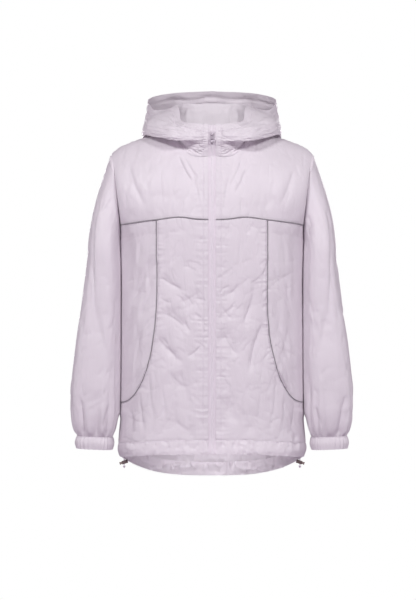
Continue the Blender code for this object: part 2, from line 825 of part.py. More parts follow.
def strip(points, ways, depth, xs):
    """A grid along the zip, this far in from the outer face."""
    line = points - ways * depth
    return np.stack([np.stack([np.full(len(line), x), line[:, 1], line[:, 2]], axis=-1) for x in xs], axis=1)


def build_zip(panels):
    points, walls, ways = zip_course(panels)
    depth = (walls + TAPE_GAP)[:, None]
    for side, sign in (("left", 1), ("right", -1)):
        xs = (sign * TAPE_INNER_X, sign * TAPE_OUTER_X)
        outer = strip(points, ways, depth, xs)
        inner = strip(points, ways, depth + TAPE_WALL, xs)
        walled("zip_tape_" + side, outer, inner, False, TAPE)
    xs = (-CHAIN_HALF, CHAIN_HALF)
    outer = strip(points, ways, CHAIN_DEPTH, xs)
    walled("zip_chain", outer, strip(points, ways, CHAIN_DEPTH + CHAIN_WALL, xs), False, CHAIN)
    return outer[:, 0]


def prism(name, outline, low, high, place, look):
    """A closed prism: each outline corner goes through place(u, v, height)."""
    shape = bmesh.new()
    ends = [[shape.verts.new(place(u, v, level)) for u, v in outline] for level in (low, high)]
    count = len(outline)
    for end in ends:
        shape.faces.new(end)
    for corner in range(count):
        after = (corner + 1) % count
        shape.faces.new((ends[0][corner], ends[0][after], ends[1][after], ends[1][corner]))
    return mesh_object(name, shape, look, smooth_faces=False)


def cylinder(name, radius, low, high, frame, look):
    """A round bar along the frame's X."""
    turns = [2 * math.pi * step / ROUND_SIDES for step in range(ROUND_SIDES)]
    outline = [(radius * math.cos(turn), radius * math.sin(turn)) for turn in turns]
    return prism(name, outline, low, high, lambda u, v, level: frame @ Vector((level, u, v)), look)


def apply_boolean(target, tool, operation):
    """Marks a helper and lets it cut or join the target."""
    tool.hide_render = True
    tool.display_type = "WIRE"
    step = target.modifiers.new(tool.name, "BOOLEAN")
    step.object = tool
    step.operation = operation
    step.solver = "EXACT"


def pull_outline(arc_cells=4):
    """A narrow neck at the bridge that flares to a tab with round lower corners."""
    right = [(PULL_NECK_HALF, PULL_TOP), (PULL_NECK_HALF, PULL_NECK), (PULL_HALF, PULL_FLARE)]
    for step in range(arc_cells + 1):
        turn = QUARTER * step / arc_cells
        right.append((PULL_HALF - PULL_CORNER + PULL_CORNER * math.cos(turn),
                      PULL_BOTTOM + PULL_CORNER - PULL_CORNER * math.sin(turn)))
    return right + [(-u, v) for u, v in reversed(right)]


def ellipse(half, tall, middle):
    turns = [2 * math.pi * step / ROUND_SIDES for step in range(ROUND_SIDES)]
    return [(half * math.cos(turn), middle + tall * math.sin(turn)) for turn in turns]


def build_slider(chain_line):
    """The slider on the chain's face, with its bridge, and the pull tab hanging from the bridge."""
    reach_z = max(abs(z) for _, z in SLIDER_OUTLINE)
    heights = np.linspace(SLIDER_Z - reach_z, SLIDER_Z + reach_z, DENSE)
    face_y = float(np.interp(heights, chain_line[:, 2], chain_line[:, 1]).min()) - CLEAR
    plate_y = face_y - SLIDER_WALL
    slider = prism("zip_slider", SLIDER_OUTLINE, face_y, plate_y,
                   lambda u, v, level: (u, level, SLIDER_Z + v), METAL)
    bridge = prism("bridge_helper", BRIDGE_OUTLINE, -BRIDGE_HALF, BRIDGE_HALF,
                   lambda u, v, level: (level, plate_y + u, SLIDER_Z + v), METAL)
    apply_boolean(slider, bridge, "UNION")
    hinge = Vector((0, plate_y - HINGE_OUT, SLIDER_Z))
    build_pull(hinge)


def build_pull(hinge):
    half_wall = PULL_WALL / 2
    deep = 2 * PULL_WALL

    def flat(u, v, level):
        return (u, level, v)

    pull = prism("zip_pull", pull_outline(), -half_wall, half_wall, flat, METAL)
    half, top, bottom = BRIDGE_WINDOW
    window = [(-half, bottom), (half, bottom), (half, top), (-half, top)]
    holes = (("window_helper", window), ("grip_helper", ellipse(*GRIP_HOLE)))
    for name, hole in holes:
        helper = prism(name, hole, -deep, deep, flat, METAL)
        helper.location = hinge
        apply_boolean(pull, helper, "DIFFERENCE")
    pull.location = hinge


def build_cord(side, sign):
    """The cord end out of the inside of the hem, through its lock to a knot."""
    level = CORD_EXIT_Z - ARMPIT_Z
    around = np.array([CORD_ANGLE - 0.02, CORD_ANGLE, CORD_ANGLE + 0.02])
    near = body(around, level, "front")
    along = unit(near[2] - near[0])
    inward = np.array((-along[1], along[0], 0.0))
    inward = inward if inward[0] < 0 else -inward
    start = near[1] + inward * (HEM_WALL + CORD_STAND_OFF)
    line = np.array([start + inward * into + (0, 0, -down) for into, down in CORD_ROUTE]) * (sign, 1, 1)
    tube("cord_" + side, line, CORD_RADIUS, CORD)
    build_knot("cord_knot_" + side, line[-1])
    into = CORD_ROUTE[-1][0]
    middle = Vector((start + inward * into + (0, 0, -LOCK_DOWN)) * (sign, 1, 1))
    build_lock(side, sign, middle)


def build_knot(name, cord_end):
    shape = bmesh.new()
    bmesh.ops.create_uvsphere(shape, u_segments=14, v_segments=8, radius=KNOT_RADIUS)
    bmesh.ops.scale(shape, vec=(1, 1, KNOT_STRETCH), verts=shape.verts)
    middle = Vector(cord_end) - Vector((0, 0, KNOT_RADIUS * KNOT_STRETCH + CLEAR))
    bmesh.ops.translate(shape, vec=middle, verts=shape.verts)
    return mesh_object(name, shape, CORD)


def build_lock(side, sign, middle):
    """A barrel lock across the cord, with a push button in its outer end."""
    tilt = Matrix.Rotation(LOCK_TILT, 4, "Y")
    turned = Matrix.Identity(4) if sign > 0 else Matrix.Rotation(math.pi, 4, "Z")
    frame = Matrix.Translation(middle) @ turned @ tilt
    local = turned @ tilt
    upright = Matrix.Translation(middle) @ Matrix.Rotation(-QUARTER, 4, "Y")
    far = 4 * LOCK_RADIUS
    barrel = cylinder("cord_lock_" + side, LOCK_RADIUS, *LOCK_SPAN, frame, LOCK)
    bore = cylinder("bore_helper_" + side, BORE_RADIUS, BORE_END, far, frame, LOCK)
    hole = cylinder("cord_hole_helper_" + side, CORD_HOLE_RADIUS, -far, far, upright, LOCK)
    apply_boolean(barrel, bore, "DIFFERENCE")
    apply_boolean(barrel, hole, "DIFFERENCE")
    head_start = LOCK_SPAN[1] + CLEAR + BUTTON_TRAVEL
    button = cylinder("cord_button_" + side, BUTTON_RADIUS, head_start, head_start + BUTTON_HEAD, local, BUTTON)
    stem = cylinder("stem_helper_" + side, STEM_RADIUS, STEM_END, head_start + BUTTON_HEAD / 2, frame, BUTTON)
    low, high, half = STEM_SLOT
    outline = [(-half, -far), (half, -far), (half, far), (-half, far)]
    slot = prism("slot_helper_" + side, outline, low, high,
                 lambda u, v, along: frame @ Vector((along, u, v)), BUTTON)
    button.location = middle
    apply_boolean(button, stem, "UNION")
    apply_boolean(button, slot, "DIFFERENCE")


def clear_scene():
    for old in list(bpy.data.objects):
        bpy.data.objects.remove(old)


def main():
    clear_scene()
    panels = cut_panels()
    sew(panels)
    build_cloth(panels)
    build_piping(panels)
    chain_line = build_zip(panels)
    build_slider(chain_line)
    for side, sign in (("left", 1), ("right", -1)):
        build_cord(side, sign)


main()
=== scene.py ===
"""The looks of a hooded zip-front windbreaker: folded nylon, piping, stitching, zip, cord ends and light.

Metres, +Z up, the front faces -Y, and the wearer's left is +X. The cloth follows the seams of the solids.
A place on the body is a girth angle and a level. The angle is 0 at the middle of the front or back, and a
quarter turn at the side. A level below 0 is metres below the armpit, and above 0 it is the share of the way
up to the shoulder.
"""

import math

import bpy
import numpy as np
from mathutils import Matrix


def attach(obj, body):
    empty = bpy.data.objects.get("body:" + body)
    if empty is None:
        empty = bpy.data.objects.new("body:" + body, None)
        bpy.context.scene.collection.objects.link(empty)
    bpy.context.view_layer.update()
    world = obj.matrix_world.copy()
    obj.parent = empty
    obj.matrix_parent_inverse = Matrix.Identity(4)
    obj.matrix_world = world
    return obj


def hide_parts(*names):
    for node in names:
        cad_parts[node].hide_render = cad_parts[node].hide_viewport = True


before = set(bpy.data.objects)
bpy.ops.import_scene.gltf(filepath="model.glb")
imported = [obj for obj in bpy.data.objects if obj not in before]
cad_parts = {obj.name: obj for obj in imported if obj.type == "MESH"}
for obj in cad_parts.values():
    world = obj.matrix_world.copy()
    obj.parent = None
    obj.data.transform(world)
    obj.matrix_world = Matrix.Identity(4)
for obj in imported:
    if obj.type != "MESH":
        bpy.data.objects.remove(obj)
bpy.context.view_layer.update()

# Cloth
SHELL = 0.0009
HEM_SHELL = 0.0018
SEAM_GAP = 0.0001
QUARTER = math.pi / 2
SIDES = {"left": 1, "right": -1}
DENSE = 400
SOLVER_ROUNDS = 20
FIRST_LEVEL = 0.15

# Body, from the hem to the shoulder ridge
ARMPIT_Z = -0.185
ARMPIT_ROUNDS = 160
ARMPIT_CELLS = 8
ARMPIT_REACH = 0.035
SECTION_POWER = 2.4
TRUNK_COLUMNS = ("z", "half_width", "front_depth", "back_depth")
TRUNK = (
    (-0.680, 0.180, 0.120, 0.116),
    (-0.640, 0.183, 0.122, 0.119),
    (-0.618, 0.184, 0.123, 0.120),
    (-0.603, 0.188, 0.126, 0.122),
    (-0.586, 0.187, 0.125, 0.121),
    (-0.540, 0.183, 0.123, 0.118),
    (-0.420, 0.181, 0.121, 0.114),
    (-0.300, 0.180, 0.122, 0.112),
    (-0.185, 0.180, 0.125, 0.112),
)
SHOULDER_X = 0.202
REACH_POWER = 1.4
NECK_X = 0.085
RIDGE_AT_NECK = 0.036
RIDGE_SLOPE = 0.345
RIDGE_DROOP = 0.012
RIDGE_DROOP_POWER = 9
ROUNDING = {"front": 2.2, "back": 2.4}
ARMHOLE_DEPTH = {"front": 0.060, "back": 0.064}
ARMHOLE_POWER = 2.2
ARMHOLE_START = 1.5
NECK_SHARE = {"front": 0.652, "back": 0.852}
NECK_POWER = {"front": 3.2, "back": 2.5}

# Seams of the front
ZIP_EDGE = 0.0075
ZIP_LEVEL_SHARE = 0.25
YOKE_SEAM_COLUMNS = ("x", "z")
YOKE_SEAM = (
    (0.000, -0.149),
    (0.030, -0.148),
    (0.062, -0.144),
    (0.110, -0.149),
    (0.150, -0.1535),
    (0.185, -0.158),
)
CURVED_SEAM_X = 0.109
CURVED_SEAM_BEND_Z = -0.290
CURVED_SEAM_END_Z = -0.509
CURVED_SEAM_END = 0.9995
PANEL_FOOT_POWER = 4

# Hem, longer at the back
HEM_HEIGHT = 0.028
HEM_FRONT_Z = -0.607
HEM_SIDE_Z = -0.618
HEM_BACK_DROP = 0.047
HEM_BACK_POWER = 1.55

# Sleeve sections, each an oval ring
SLEEVE_POWER = 2.8
SLEEVE_COLUMNS = ("z", "outer_x", "inner_x", "middle_y", "half_depth")
SLEEVE = (
    (-0.602, 0.2695, 0.1985, -0.023, 0.0365),
    (-0.590, 0.2712, 0.1968, -0.0225, 0.0378),
    (-0.577, 0.2690, 0.1970, -0.022, 0.0370),
    (-0.559, 0.2745, 0.1915, -0.021, 0.0460),
    (-0.534, 0.2800, 0.1862, -0.020, 0.0540),
    (-0.496, 0.2815, 0.1845, -0.018, 0.0590),
    (-0.430, 0.2760, 0.1830, -0.014, 0.0630),
    (-0.368, 0.2685, 0.1825, -0.010, 0.0660),
    (-0.306, 0.2590, 0.1820, -0.006, 0.0690),
    (-0.260, 0.2535, 0.1823, -0.004, 0.0720),
    (-0.215, 0.2485, 0.1840, -0.002, 0.0750),
)
SLEEVE_TOP_Z = -0.215
CUFF_TOP_Z = -0.577
CUFF_BOTTOM_Z = -0.602
SLEEVE_LEAVES = (0.33, 0.0, -0.944)
CUFF_TILT = 0.0015

# Hood, through five rails from the neck seam to the rim, each a row per station round the neck
NECK_SIDE = 0.58
HOOD_STATIONS = (0.0, 0.2, 0.4, 0.58, 0.66, 0.74, 0.82, 0.90, 1.0)
HOOD_KNOTS = (0.0, 0.16, 0.345, 0.55, 0.775, 1.0)
HOOD_RAILS = {
    "stand_top": (
        (0.0075, -0.1025, -0.012),
        (0.0340, -0.0985, -0.012),
        (0.0640, -0.0690, 0.006),
        (0.0770, -0.0060, 0.058),
        (0.0760, 0.0220, 0.076),
        (0.0690, 0.0450, 0.085),
        (0.0550, 0.0630, 0.090),
        (0.0330, 0.0750, 0.092),
        (0.0000, 0.0800, 0.092),
    ),
    "inner_wall": (
        (0.0075, -0.1055, -0.001),
        (0.0355, -0.1040, -0.001),
        (0.0710, -0.0830, 0.008),
        (0.0970, -0.0120, 0.050),
        (0.1030, 0.0220, 0.058),
        (0.1030, 0.0560, 0.058),
        (0.0850, 0.0860, 0.044),
        (0.0480, 0.1060, 0.028),
        (0.0000, 0.1140, 0.020),
    ),
    "bottom_fold": (
        (0.0075, -0.1075, 0.011),
        (0.0380, -0.1140, 0.006),
        (0.0860, -0.1050, 0.008),
        (0.1330, -0.0260, 0.021),
        (0.1365, 0.0160, 0.021),
        (0.1365, 0.0600, 0.014),
        (0.1220, 0.1050, -0.014),
        (0.0720, 0.1370, -0.046),
        (0.0000, 0.1460, -0.062),
    ),
    "outer_wall": (
        (0.0075, -0.1055, 0.025),
        (0.0370, -0.1110, 0.025),
        (0.0820, -0.0980, 0.034),
        (0.1270, -0.0280, 0.052),
        (0.1345, 0.0180, 0.052),
        (0.1360, 0.0680, 0.051),
        (0.1345, 0.1130, 0.050),
        (0.0880, 0.1550, 0.036),
        (0.0000, 0.1700, 0.030),
    ),
    "rim": (
        (0.0075, -0.1000, 0.039),
        (0.0350, -0.0985, 0.041),
        (0.0605, -0.0780, 0.048),
        (0.0730, -0.0200, 0.080),
        (0.0960, 0.0150, 0.076),
        (0.1190, 0.0480, 0.079),
        (0.1295, 0.0830, 0.102),
        (0.0900, 0.1200, 0.1165),
        (0.0000, 0.1460, 0.124),
    ),
}
HOOD_SEAM = 0.86
HOOD_GIRTH = 0.36
HOOD_SEED = 81
HOOD_CRINKLE = 1.8
HOOD_PUFF = 0.3
HOOD_HEIGHT = 0.34

# Fine mesh cells along each edge
NECK_CELLS = 60
INNER_SHOULDER_CELLS = 24
OUTER_SHOULDER_CELLS = 52
YOKE_ROWS = 62
ARMHOLE_ROWS = 14
SEAM_ROWS = 260
LOWER_ROWS = 16
HEM_ROWS = 14
HEM_CELLS = 190
BACK_ROWS = 72
BACK_ROW_STEP = 2
BACK_SHOULDER_CELLS = 54
BACK_NECK_CELLS = 42
HOOD_ROWS = 126
CAP_ROWS = 46
ARM_ROWS = 104
CUFF_ROWS = 16
SLEEVE_CELLS = 116

# Folds of the front, in the front view: a trough from one point to another, steep above and gentle below
FOLD_GAIN = 0.74
FOLD_STEEPNESS = 4.0
FOLD_SOFTNESS = 0.12
FOLD_TAPER = 0.3
# Each row is the x and z of one end, the x and z of the other, the width, the depth and the bow
FRONT_FOLDS = (
    (-0.164, -0.033, -0.133, -0.122, 0.010, 0.0018, 0.004),
    (-0.148, -0.020, -0.118, -0.118, 0.008, 0.0010, -0.003),
    (-0.068, -0.017, -0.030, -0.081, 0.009, 0.0028, 0.005),
    (-0.048, -0.030, -0.024, -0.128, 0.008, 0.0016, -0.004),
    (-0.100, -0.045, -0.092, -0.138, 0.011, 0.0009, 0.003),
    (0.162, -0.042, 0.132, -0.122, 0.010, 0.0018, -0.004),
    (0.142, -0.022, 0.112, -0.112, 0.008, 0.0010, 0.004),
    (0.068, -0.040, 0.040, -0.101, 0.009, 0.0026, -0.004),
    (0.036, -0.052, 0.024, -0.134, 0.007, 0.0016, 0.003),
    (0.096, -0.060, 0.086, -0.140, 0.011, 0.0009, -0.003),
    (-0.133, -0.160, -0.147, -0.238, 0.008, 0.0026, 0.003),
    (-0.146, -0.230, -0.163, -0.312, 0.009, 0.0030, -0.004),
    (-0.121, -0.180, -0.128, -0.300, 0.007, 0.0014, 0.004),
    (-0.152, -0.330, -0.132, -0.440, 0.010, 0.0020, 0.005),
    (0.133, -0.164, 0.150, -0.246, 0.008, 0.0026, -0.003),
    (0.146, -0.236, 0.160, -0.330, 0.009, 0.0026, 0.004),
    (0.120, -0.190, 0.126, -0.310, 0.007, 0.0013, -0.004),
    (0.154, -0.350, 0.130, -0.430, 0.010, 0.0020, -0.005),
    (-0.104, -0.258, -0.060, -0.283, 0.007, 0.0030, 0.003),
    (-0.104, -0.300, -0.078, -0.312, 0.005, 0.0018, 0.002),
    (-0.102, -0.330, -0.053, -0.361, 0.008, 0.0034, -0.004),
    (-0.110, -0.374, -0.066, -0.416, 0.009, 0.0034, 0.005),
    (-0.052, -0.418, -0.018, -0.390, 0.007, 0.0036, 0.003),
    (-0.036, -0.330, -0.014, -0.352, 0.006, 0.0020, -0.002),
    (-0.088, -0.440, -0.050, -0.478, 0.010, 0.0022, 0.004),
    (-0.062, -0.172, -0.056, -0.262, 0.011, 0.0009, -0.004),
    (0.104, -0.345, 0.074, -0.454, 0.010, 0.0034, 0.006),
    (0.082, -0.286, 0.058, -0.355, 0.009, 0.0028, -0.004),
    (0.021, -0.365, 0.053, -0.416, 0.008, 0.0034, 0.004),
    (0.016, -0.312, 0.042, -0.346, 0.006, 0.0022, 0.003),
    (0.019, -0.499, 0.045, -0.547, 0.008, 0.0030, -0.003),
    (0.016, -0.446, 0.040, -0.480, 0.006, 0.0020, 0.002),
    (0.100, -0.262, 0.074, -0.276, 0.005, 0.0018, 0.002),
    (0.060, -0.176, 0.054, -0.262, 0.011, 0.0009, 0.004),
    (-0.124, -0.440, -0.108, -0.560, 0.007, 0.0030, 0.004),
    (-0.142, -0.482, -0.130, -0.574, 0.006, 0.0026, 0.003),
    (-0.100, -0.470, -0.090, -0.570, 0.008, 0.0022, -0.003),
    (-0.160, -0.505, -0.152, -0.576, 0.006, 0.0020, 0.002),
    (-0.070, -0.500, -0.066, -0.574, 0.008, 0.0018, 0.003),
    (0.126, -0.446, 0.112, -0.562, 0.007, 0.0030, -0.004),
    (0.142, -0.486, 0.134, -0.575, 0.006, 0.0026, -0.003),
    (0.098, -0.480, 0.090, -0.570, 0.008, 0.0022, 0.003),
    (0.162, -0.505, 0.154, -0.576, 0.006, 0.0020, -0.002),
    (0.072, -0.510, 0.068, -0.574, 0.008, 0.0018, -0.003),
    (-0.114, -0.214, -0.166, -0.333, 0.012, 0.0036, 0.004),
    (-0.116, -0.266, -0.164, -0.434, 0.013, 0.0042, 0.005),
    (-0.122, -0.372, -0.160, -0.486, 0.011, 0.0030, 0.004),
    (0.116, -0.230, 0.164, -0.360, 0.012, 0.0036, -0.004),
    (0.114, -0.300, 0.158, -0.448, 0.013, 0.0042, -0.005),
    (0.126, -0.392, 0.162, -0.500, 0.010, 0.0030, -0.004),
    (-0.098, -0.252, -0.050, -0.292, 0.022, 0.0036, 0.004),
    (-0.096, -0.318, -0.040, -0.372, 0.024, 0.0042, -0.004),
    (-0.104, -0.366, -0.052, -0.436, 0.026, 0.0044, 0.005),
    (-0.064, -0.436, -0.040, -0.500, 0.022, 0.0030, 0.004),
    (-0.066, -0.312, -0.020, -0.286, 0.018, 0.0034, 0.003),
    (0.106, -0.338, 0.070, -0.462, 0.026, 0.0046, 0.006),
    (0.086, -0.262, 0.056, -0.366, 0.022, 0.0032, -0.004),
    (0.026, -0.352, 0.060, -0.424, 0.024, 0.0040, 0.004),
    (0.024, -0.300, 0.058, -0.270, 0.016, 0.0026, 0.003),
    (0.020, -0.486, 0.056, -0.556, 0.022, 0.0040, -0.003),
    (-0.122, -0.206, -0.166, -0.318, 0.024, 0.0040, -0.006),
    (0.124, -0.282, 0.160, -0.400, 0.024, 0.0036, 0.006),
    (-0.166, -0.030, -0.128, -0.132, 0.024, 0.0020, 0.004),
    (0.164, -0.036, 0.128, -0.132, 0.024, 0.0020, -0.004),
    (-0.066, -0.016, -0.028, -0.092, 0.006, 0.0022, 0.004),
    (-0.056, -0.014, -0.020, -0.076, 0.006, 0.0018, 0.005),
    (0.060, -0.018, 0.030, -0.090, 0.006, 0.0020, -0.004),
    (-0.076, -0.536, -0.044, -0.562, 0.006, 0.0022, 0.002),
    (0.060, -0.520, 0.084, -0.568, 0.006, 0.0020, 0.002),
    (-0.030, -0.548, -0.060, -0.572, 0.005, 0.0018, 0.002),
)
BACK_FOLDS = (
    (-0.150, -0.040, -0.110, -0.170, 0.012, 0.0030, 0.006),
    (0.148, -0.044, 0.104, -0.176, 0.012, 0.0030, -0.006),
    (-0.060, -0.050, -0.074, -0.200, 0.013, 0.0022, -0.005),
    (0.056, -0.056, 0.070, -0.190, 0.013, 0.0022, 0.005),
    (-0.165, -0.150, -0.110, -0.230, 0.010, 0.0034, 0.005),
    (0.165, -0.156, 0.112, -0.224, 0.010, 0.0034, -0.005),
    (-0.020, -0.130, -0.012, -0.280, 0.012, 0.0016, 0.004),
    (-0.120, -0.300, -0.050, -0.340, 0.010, 0.0034, -0.006),
    (0.124, -0.310, 0.046, -0.352, 0.010, 0.0034, 0.006),
    (-0.100, -0.370, -0.020, -0.400, 0.011, 0.0028, 0.006),
    (0.094, -0.386, 0.018, -0.404, 0.010, 0.0026, -0.005),
    (-0.146, -0.420, -0.090, -0.460, 0.010, 0.0028, 0.005),
    (0.142, -0.430, 0.092, -0.472, 0.010, 0.0028, -0.005),
    (-0.110, -0.480, -0.104, -0.590, 0.009, 0.0028, 0.004),
    (-0.062, -0.500, -0.070, -0.620, 0.008, 0.0026, -0.003),
    (-0.020, -0.510, -0.026, -0.630, 0.009, 0.0022, 0.003),
    (0.024, -0.490, 0.020, -0.620, 0.008, 0.0024, 0.003),
    (0.066, -0.510, 0.074, -0.625, 0.009, 0.0026, -0.003),
    (0.112, -0.470, 0.106, -0.590, 0.008, 0.0028, -0.004),
)
# Small creases scattered over areas, in the same view as the folds
SCATTER_TURN = 24.0
SCATTER_WIDTH = 0.0050
SCATTER_HALVES = (0.35, 0.8)
SCATTER_WIDTHS = (0.6, 1.5)
SCATTER_DEPTHS = (0.4, 1.3)
SCATTER_BOWS = (-0.3, 0.3)
# Each row is the area's low and high x, its low and high z, the count, the length, the lean in degrees
# and the depth
FRONT_SCATTER = (
    (-0.180, 0.180, -0.150, 0.020, 60, 0.030, 82.0, 0.0010),
    (-0.105, -0.010, -0.440, -0.230, 46, 0.022, -38.0, 0.0013),
    (0.010, 0.105, -0.440, -0.230, 46, 0.022, 38.0, 0.0013),
    (-0.105, 0.105, -0.580, -0.430, 44, 0.018, -30.0, 0.0009),
    (-0.105, 0.105, -0.240, -0.150, 30, 0.028, 75.0, 0.0009),
    (-0.175, -0.112, -0.480, -0.190, 34, 0.100, 76.0, 0.0012),
    (0.112, 0.175, -0.480, -0.190, 34, 0.100, 104.0, 0.0012),
    (-0.180, 0.180, -0.580, -0.490, 60, 0.040, 88.0, 0.0014),
    (-0.180, 0.180, -0.612, -0.575, 90, 0.010, 70.0, 0.0014),
    (-0.180, 0.180, -0.640, -0.606, 90, 0.012, 60.0, 0.0020),
)
BACK_SCATTER = (
    (-0.180, 0.180, -0.200, 0.020, 70, 0.032, 84.0, 0.0012),
    (-0.170, 0.000, -0.480, -0.200, 60, 0.028, -30.0, 0.0013),
    (0.000, 0.170, -0.480, -0.200, 60, 0.028, 30.0, 0.0013),
    (-0.180, 0.180, -0.660, -0.480, 90, 0.026, 84.0, 0.0013),
    (-0.160, 0.160, -0.668, -0.590, 60, 0.024, 4.0, -0.0026),
)
SLEEVE_SCATTER = (
    (-0.170, 0.170, -0.540, -0.080, 170, 0.032, 86.0, 0.0014),
    (-0.170, 0.170, -0.520, -0.300, 40, 0.020, 30.0, 0.0012),
)
HOOD_SCATTER = (
    (0.020, 0.110, 0.170, 0.320, 40, 0.020, 4.0, 0.0009),
    (0.100, 0.280, 0.160, 0.320, 110, 0.020, 8.0, 0.0016),
    (0.110, 0.230, 0.190, 0.300, 30, 0.026, -14.0, 0.0020),
    (0.260, 0.360, 0.150, 0.260, 50, 0.024, 10.0, 0.0016),
    (0.326, 0.360, 0.290, 0.338, 70, 0.009, 4.0, -0.0020),
    (0.260, 0.360, 0.020, 0.130, 30, 0.020, 40.0, -0.0020),
    (0.030, 0.120, 0.010, 0.080, 24, 0.016, 40.0, 0.0014),
)
# Folds of a sleeve, by the distance round it from the middle of its front towards the body, and the height
SLEEVE_RADIUS = 0.055
SLEEVE_FOLDS = (
    (-0.046, -0.095, 0.026, -0.450, 0.014, 0.0044, 0.006),
    (-0.060, -0.120, -0.040, -0.300, 0.012, 0.0016, 0.004),
    (0.036, -0.110, 0.022, -0.150, 0.008, 0.0026, 0.003),
    (0.046, -0.330, 0.012, -0.372, 0.009, 0.0014, -0.004),
    (-0.070, -0.470, -0.052, -0.548, 0.008, 0.0030, 0.004),
    (-0.030, -0.490, -0.018, -0.556, 0.008, 0.0034, -0.003),
    (0.034, -0.510, 0.014, -0.562, 0.008, 0.0034, 0.003),
    (0.110, -0.180, 0.130, -0.310, 0.011, 0.0030, 0.005),
    (0.160, -0.110, 0.150, -0.260, 0.011, 0.0030, -0.004),
    (0.190, -0.260, 0.204, -0.420, 0.012, 0.0026, 0.004),
    (0.120, -0.350, 0.160, -0.392, 0.010, 0.0034, 0.005),
    (0.130, -0.430, 0.176, -0.476, 0.010, 0.0030, -0.005),
    (0.150, -0.480, 0.156, -0.560, 0.008, 0.0034, 0.003),
    (0.206, -0.470, 0.200, -0.560, 0.008, 0.0032, -0.003),
    (-0.096, -0.130, -0.108, -0.330, 0.013, 0.0034, 0.006),
    (-0.126, -0.220, -0.100, -0.420, 0.012, 0.0040, -0.006),
    (-0.084, -0.300, -0.098, -0.480, 0.011, 0.0026, 0.005),
    (-0.136, -0.350, -0.092, -0.400, 0.010, 0.0036, 0.005),
    (-0.114, -0.470, -0.106, -0.552, 0.008, 0.0036, -0.003),
    (-0.092, -0.484, -0.094, -0.556, 0.008, 0.0026, 0.003),
)
# Folds of the hood, by the way round from the zip and the way up from the neck seam, both in metres
HOOD_FOLDS = (
    (0.026, 0.014, 0.092, 0.062, 0.010, 0.0056, 0.004),
    (0.070, 0.012, 0.130, 0.050, 0.008, 0.0036, -0.003),
    (0.022, 0.034, 0.062, 0.066, 0.007, 0.0030, 0.003),
    (0.020, 0.075, 0.050, 0.110, 0.007, 0.0018, 0.003),
    (0.110, 0.200, 0.190, 0.215, 0.008, 0.0016, 0.004),
    (0.130, 0.235, 0.200, 0.240, 0.007, 0.0016, -0.004),
    (0.120, 0.170, 0.210, 0.182, 0.009, 0.0012, 0.003),
    (0.060, 0.230, 0.100, 0.270, 0.007, 0.0020, 0.004),
    (0.110, 0.280, 0.150, 0.315, 0.006, 0.0022, 0.003),
    (0.200, 0.250, 0.260, 0.290, 0.007, 0.0022, 0.004),
    (0.220, 0.190, 0.290, 0.230, 0.009, 0.0022, -0.005),
    (0.240, 0.290, 0.300, 0.310, 0.006, 0.0024, -0.004),
    (0.300, 0.200, 0.350, 0.240, 0.009, 0.0024, 0.004),
    (0.262, 0.052, 0.302, 0.018, 0.008, -0.0040, 0.003),
    (0.286, 0.062, 0.330, 0.036, 0.008, -0.0030, -0.003),
    (0.240, 0.040, 0.262, 0.090, 0.008, -0.0024, 0.003),
)
ROLL_HOLLOW = 0.0060
ROLL_HOLLOW_PLACE = 0.32
ROLL_HOLLOW_HALF = 0.16
ROLL_HOLLOW_RISE = 0.36
ROLL_HOLLOW_HEIGHT = 0.10
RIM_GROOVE = 0.0030
RIM_GROOVE_WIDTH = 0.0024
RIM_GROOVE_START = 0.76
RIM_GROOVE_FADE = 0.1
RIM_GROOVE_STRENGTH = (0.65, 0.55)
RIM_GROOVE_STRENGTH_RUN = 0.030
RIM_WANDER = 0.0026
RIM_WANDER_RUN = 0.011
RIM_SEED = 9

# Random seeds, and how strong the folds of some pieces are
FRONT_SEED = 11
BACK_SEED = 61
SIDE_SEED = {"left": 210, "right": 260}
SLEEVE_SEED = {"left": 71, "right": 171}
SLEEVE_GAIN = 1.35
SLEEVE_CRINKLE = 0.8
BACK_GAIN = 1.5
YOKE_GAIN = 1.35

# Crinkles of the nylon: each row is a height, a width, a length and a seed, and a crease has a sharpness too
PATCH_CELLS = 64
STREAKS = ((0.00026, 0.0085, 0.090, 0), (0.00012, 0.005, 0.040, 1))
SWELLS = ((0.0005, 0.045, 0.060, 2), (0.0008, 0.080, 0.120, 3))
CREASES = ((0.0008, 0.034, 0.072, 4, 6), (0.0006, 0.017, 0.030, 8, 5))
SIDE_STREAKS = ((0.00060, 0.0060, 0.055, 7),)
# How far the creases bend across and along, the size of a bend and a seed
CREASE_BENDS = ((0.010, 0.050, 5), (0.014, 0.060, 6))

# Short wrinkles that run out from stitched lines: each row is a seed, a depth, a reach and a pitch
ROW_PITCH = 0.0040
YOKE_PITCH = 0.0042
HEM_PITCH = 0.0056
PUCKERS = {
    "zip": (0, 0.0015, 0.014, ROW_PITCH),
    "yoke_neck": (31, 0.0007, 0.012, 0.0090),
    "yoke_seam": (34, 0.0014, 0.010, YOKE_PITCH),
    "front_top": (32, 0.0008, 0.010, YOKE_PITCH),
    "front_seam": (41, 0.0020, 0.013, ROW_PITCH),
    "front_foot": (51, 0.0020, 0.018, HEM_PITCH),
    "side_top": (33, 0.0014, 0.014, YOKE_PITCH),
    "side_seam": (42, 0.0010, 0.008, ROW_PITCH),
    "back_foot": (51, 0.0015, 0.022, 0.0080),
    "hem_top": (51, 0.0034, 0.012, HEM_PITCH),
    "hem_bottom": (52, 0.0026, 0.010, 0.0064),
    "armhole": (5, 0.0008, 0.012, 0.0070),
    "rim": (5, 0.0016, 0.011, 0.0050),
}
PUCKER_START = 0.003
# How they waver along the line: a middle, a change, the pitches that a change takes and a seed
PUCKER_SLANT = (0.0, 0.35, 8, 3)
PUCKER_STRENGTH = (0.65, 0.5, 9, 4)
PUCKER_LENGTH = (1.0, 0.6, 3, 7)

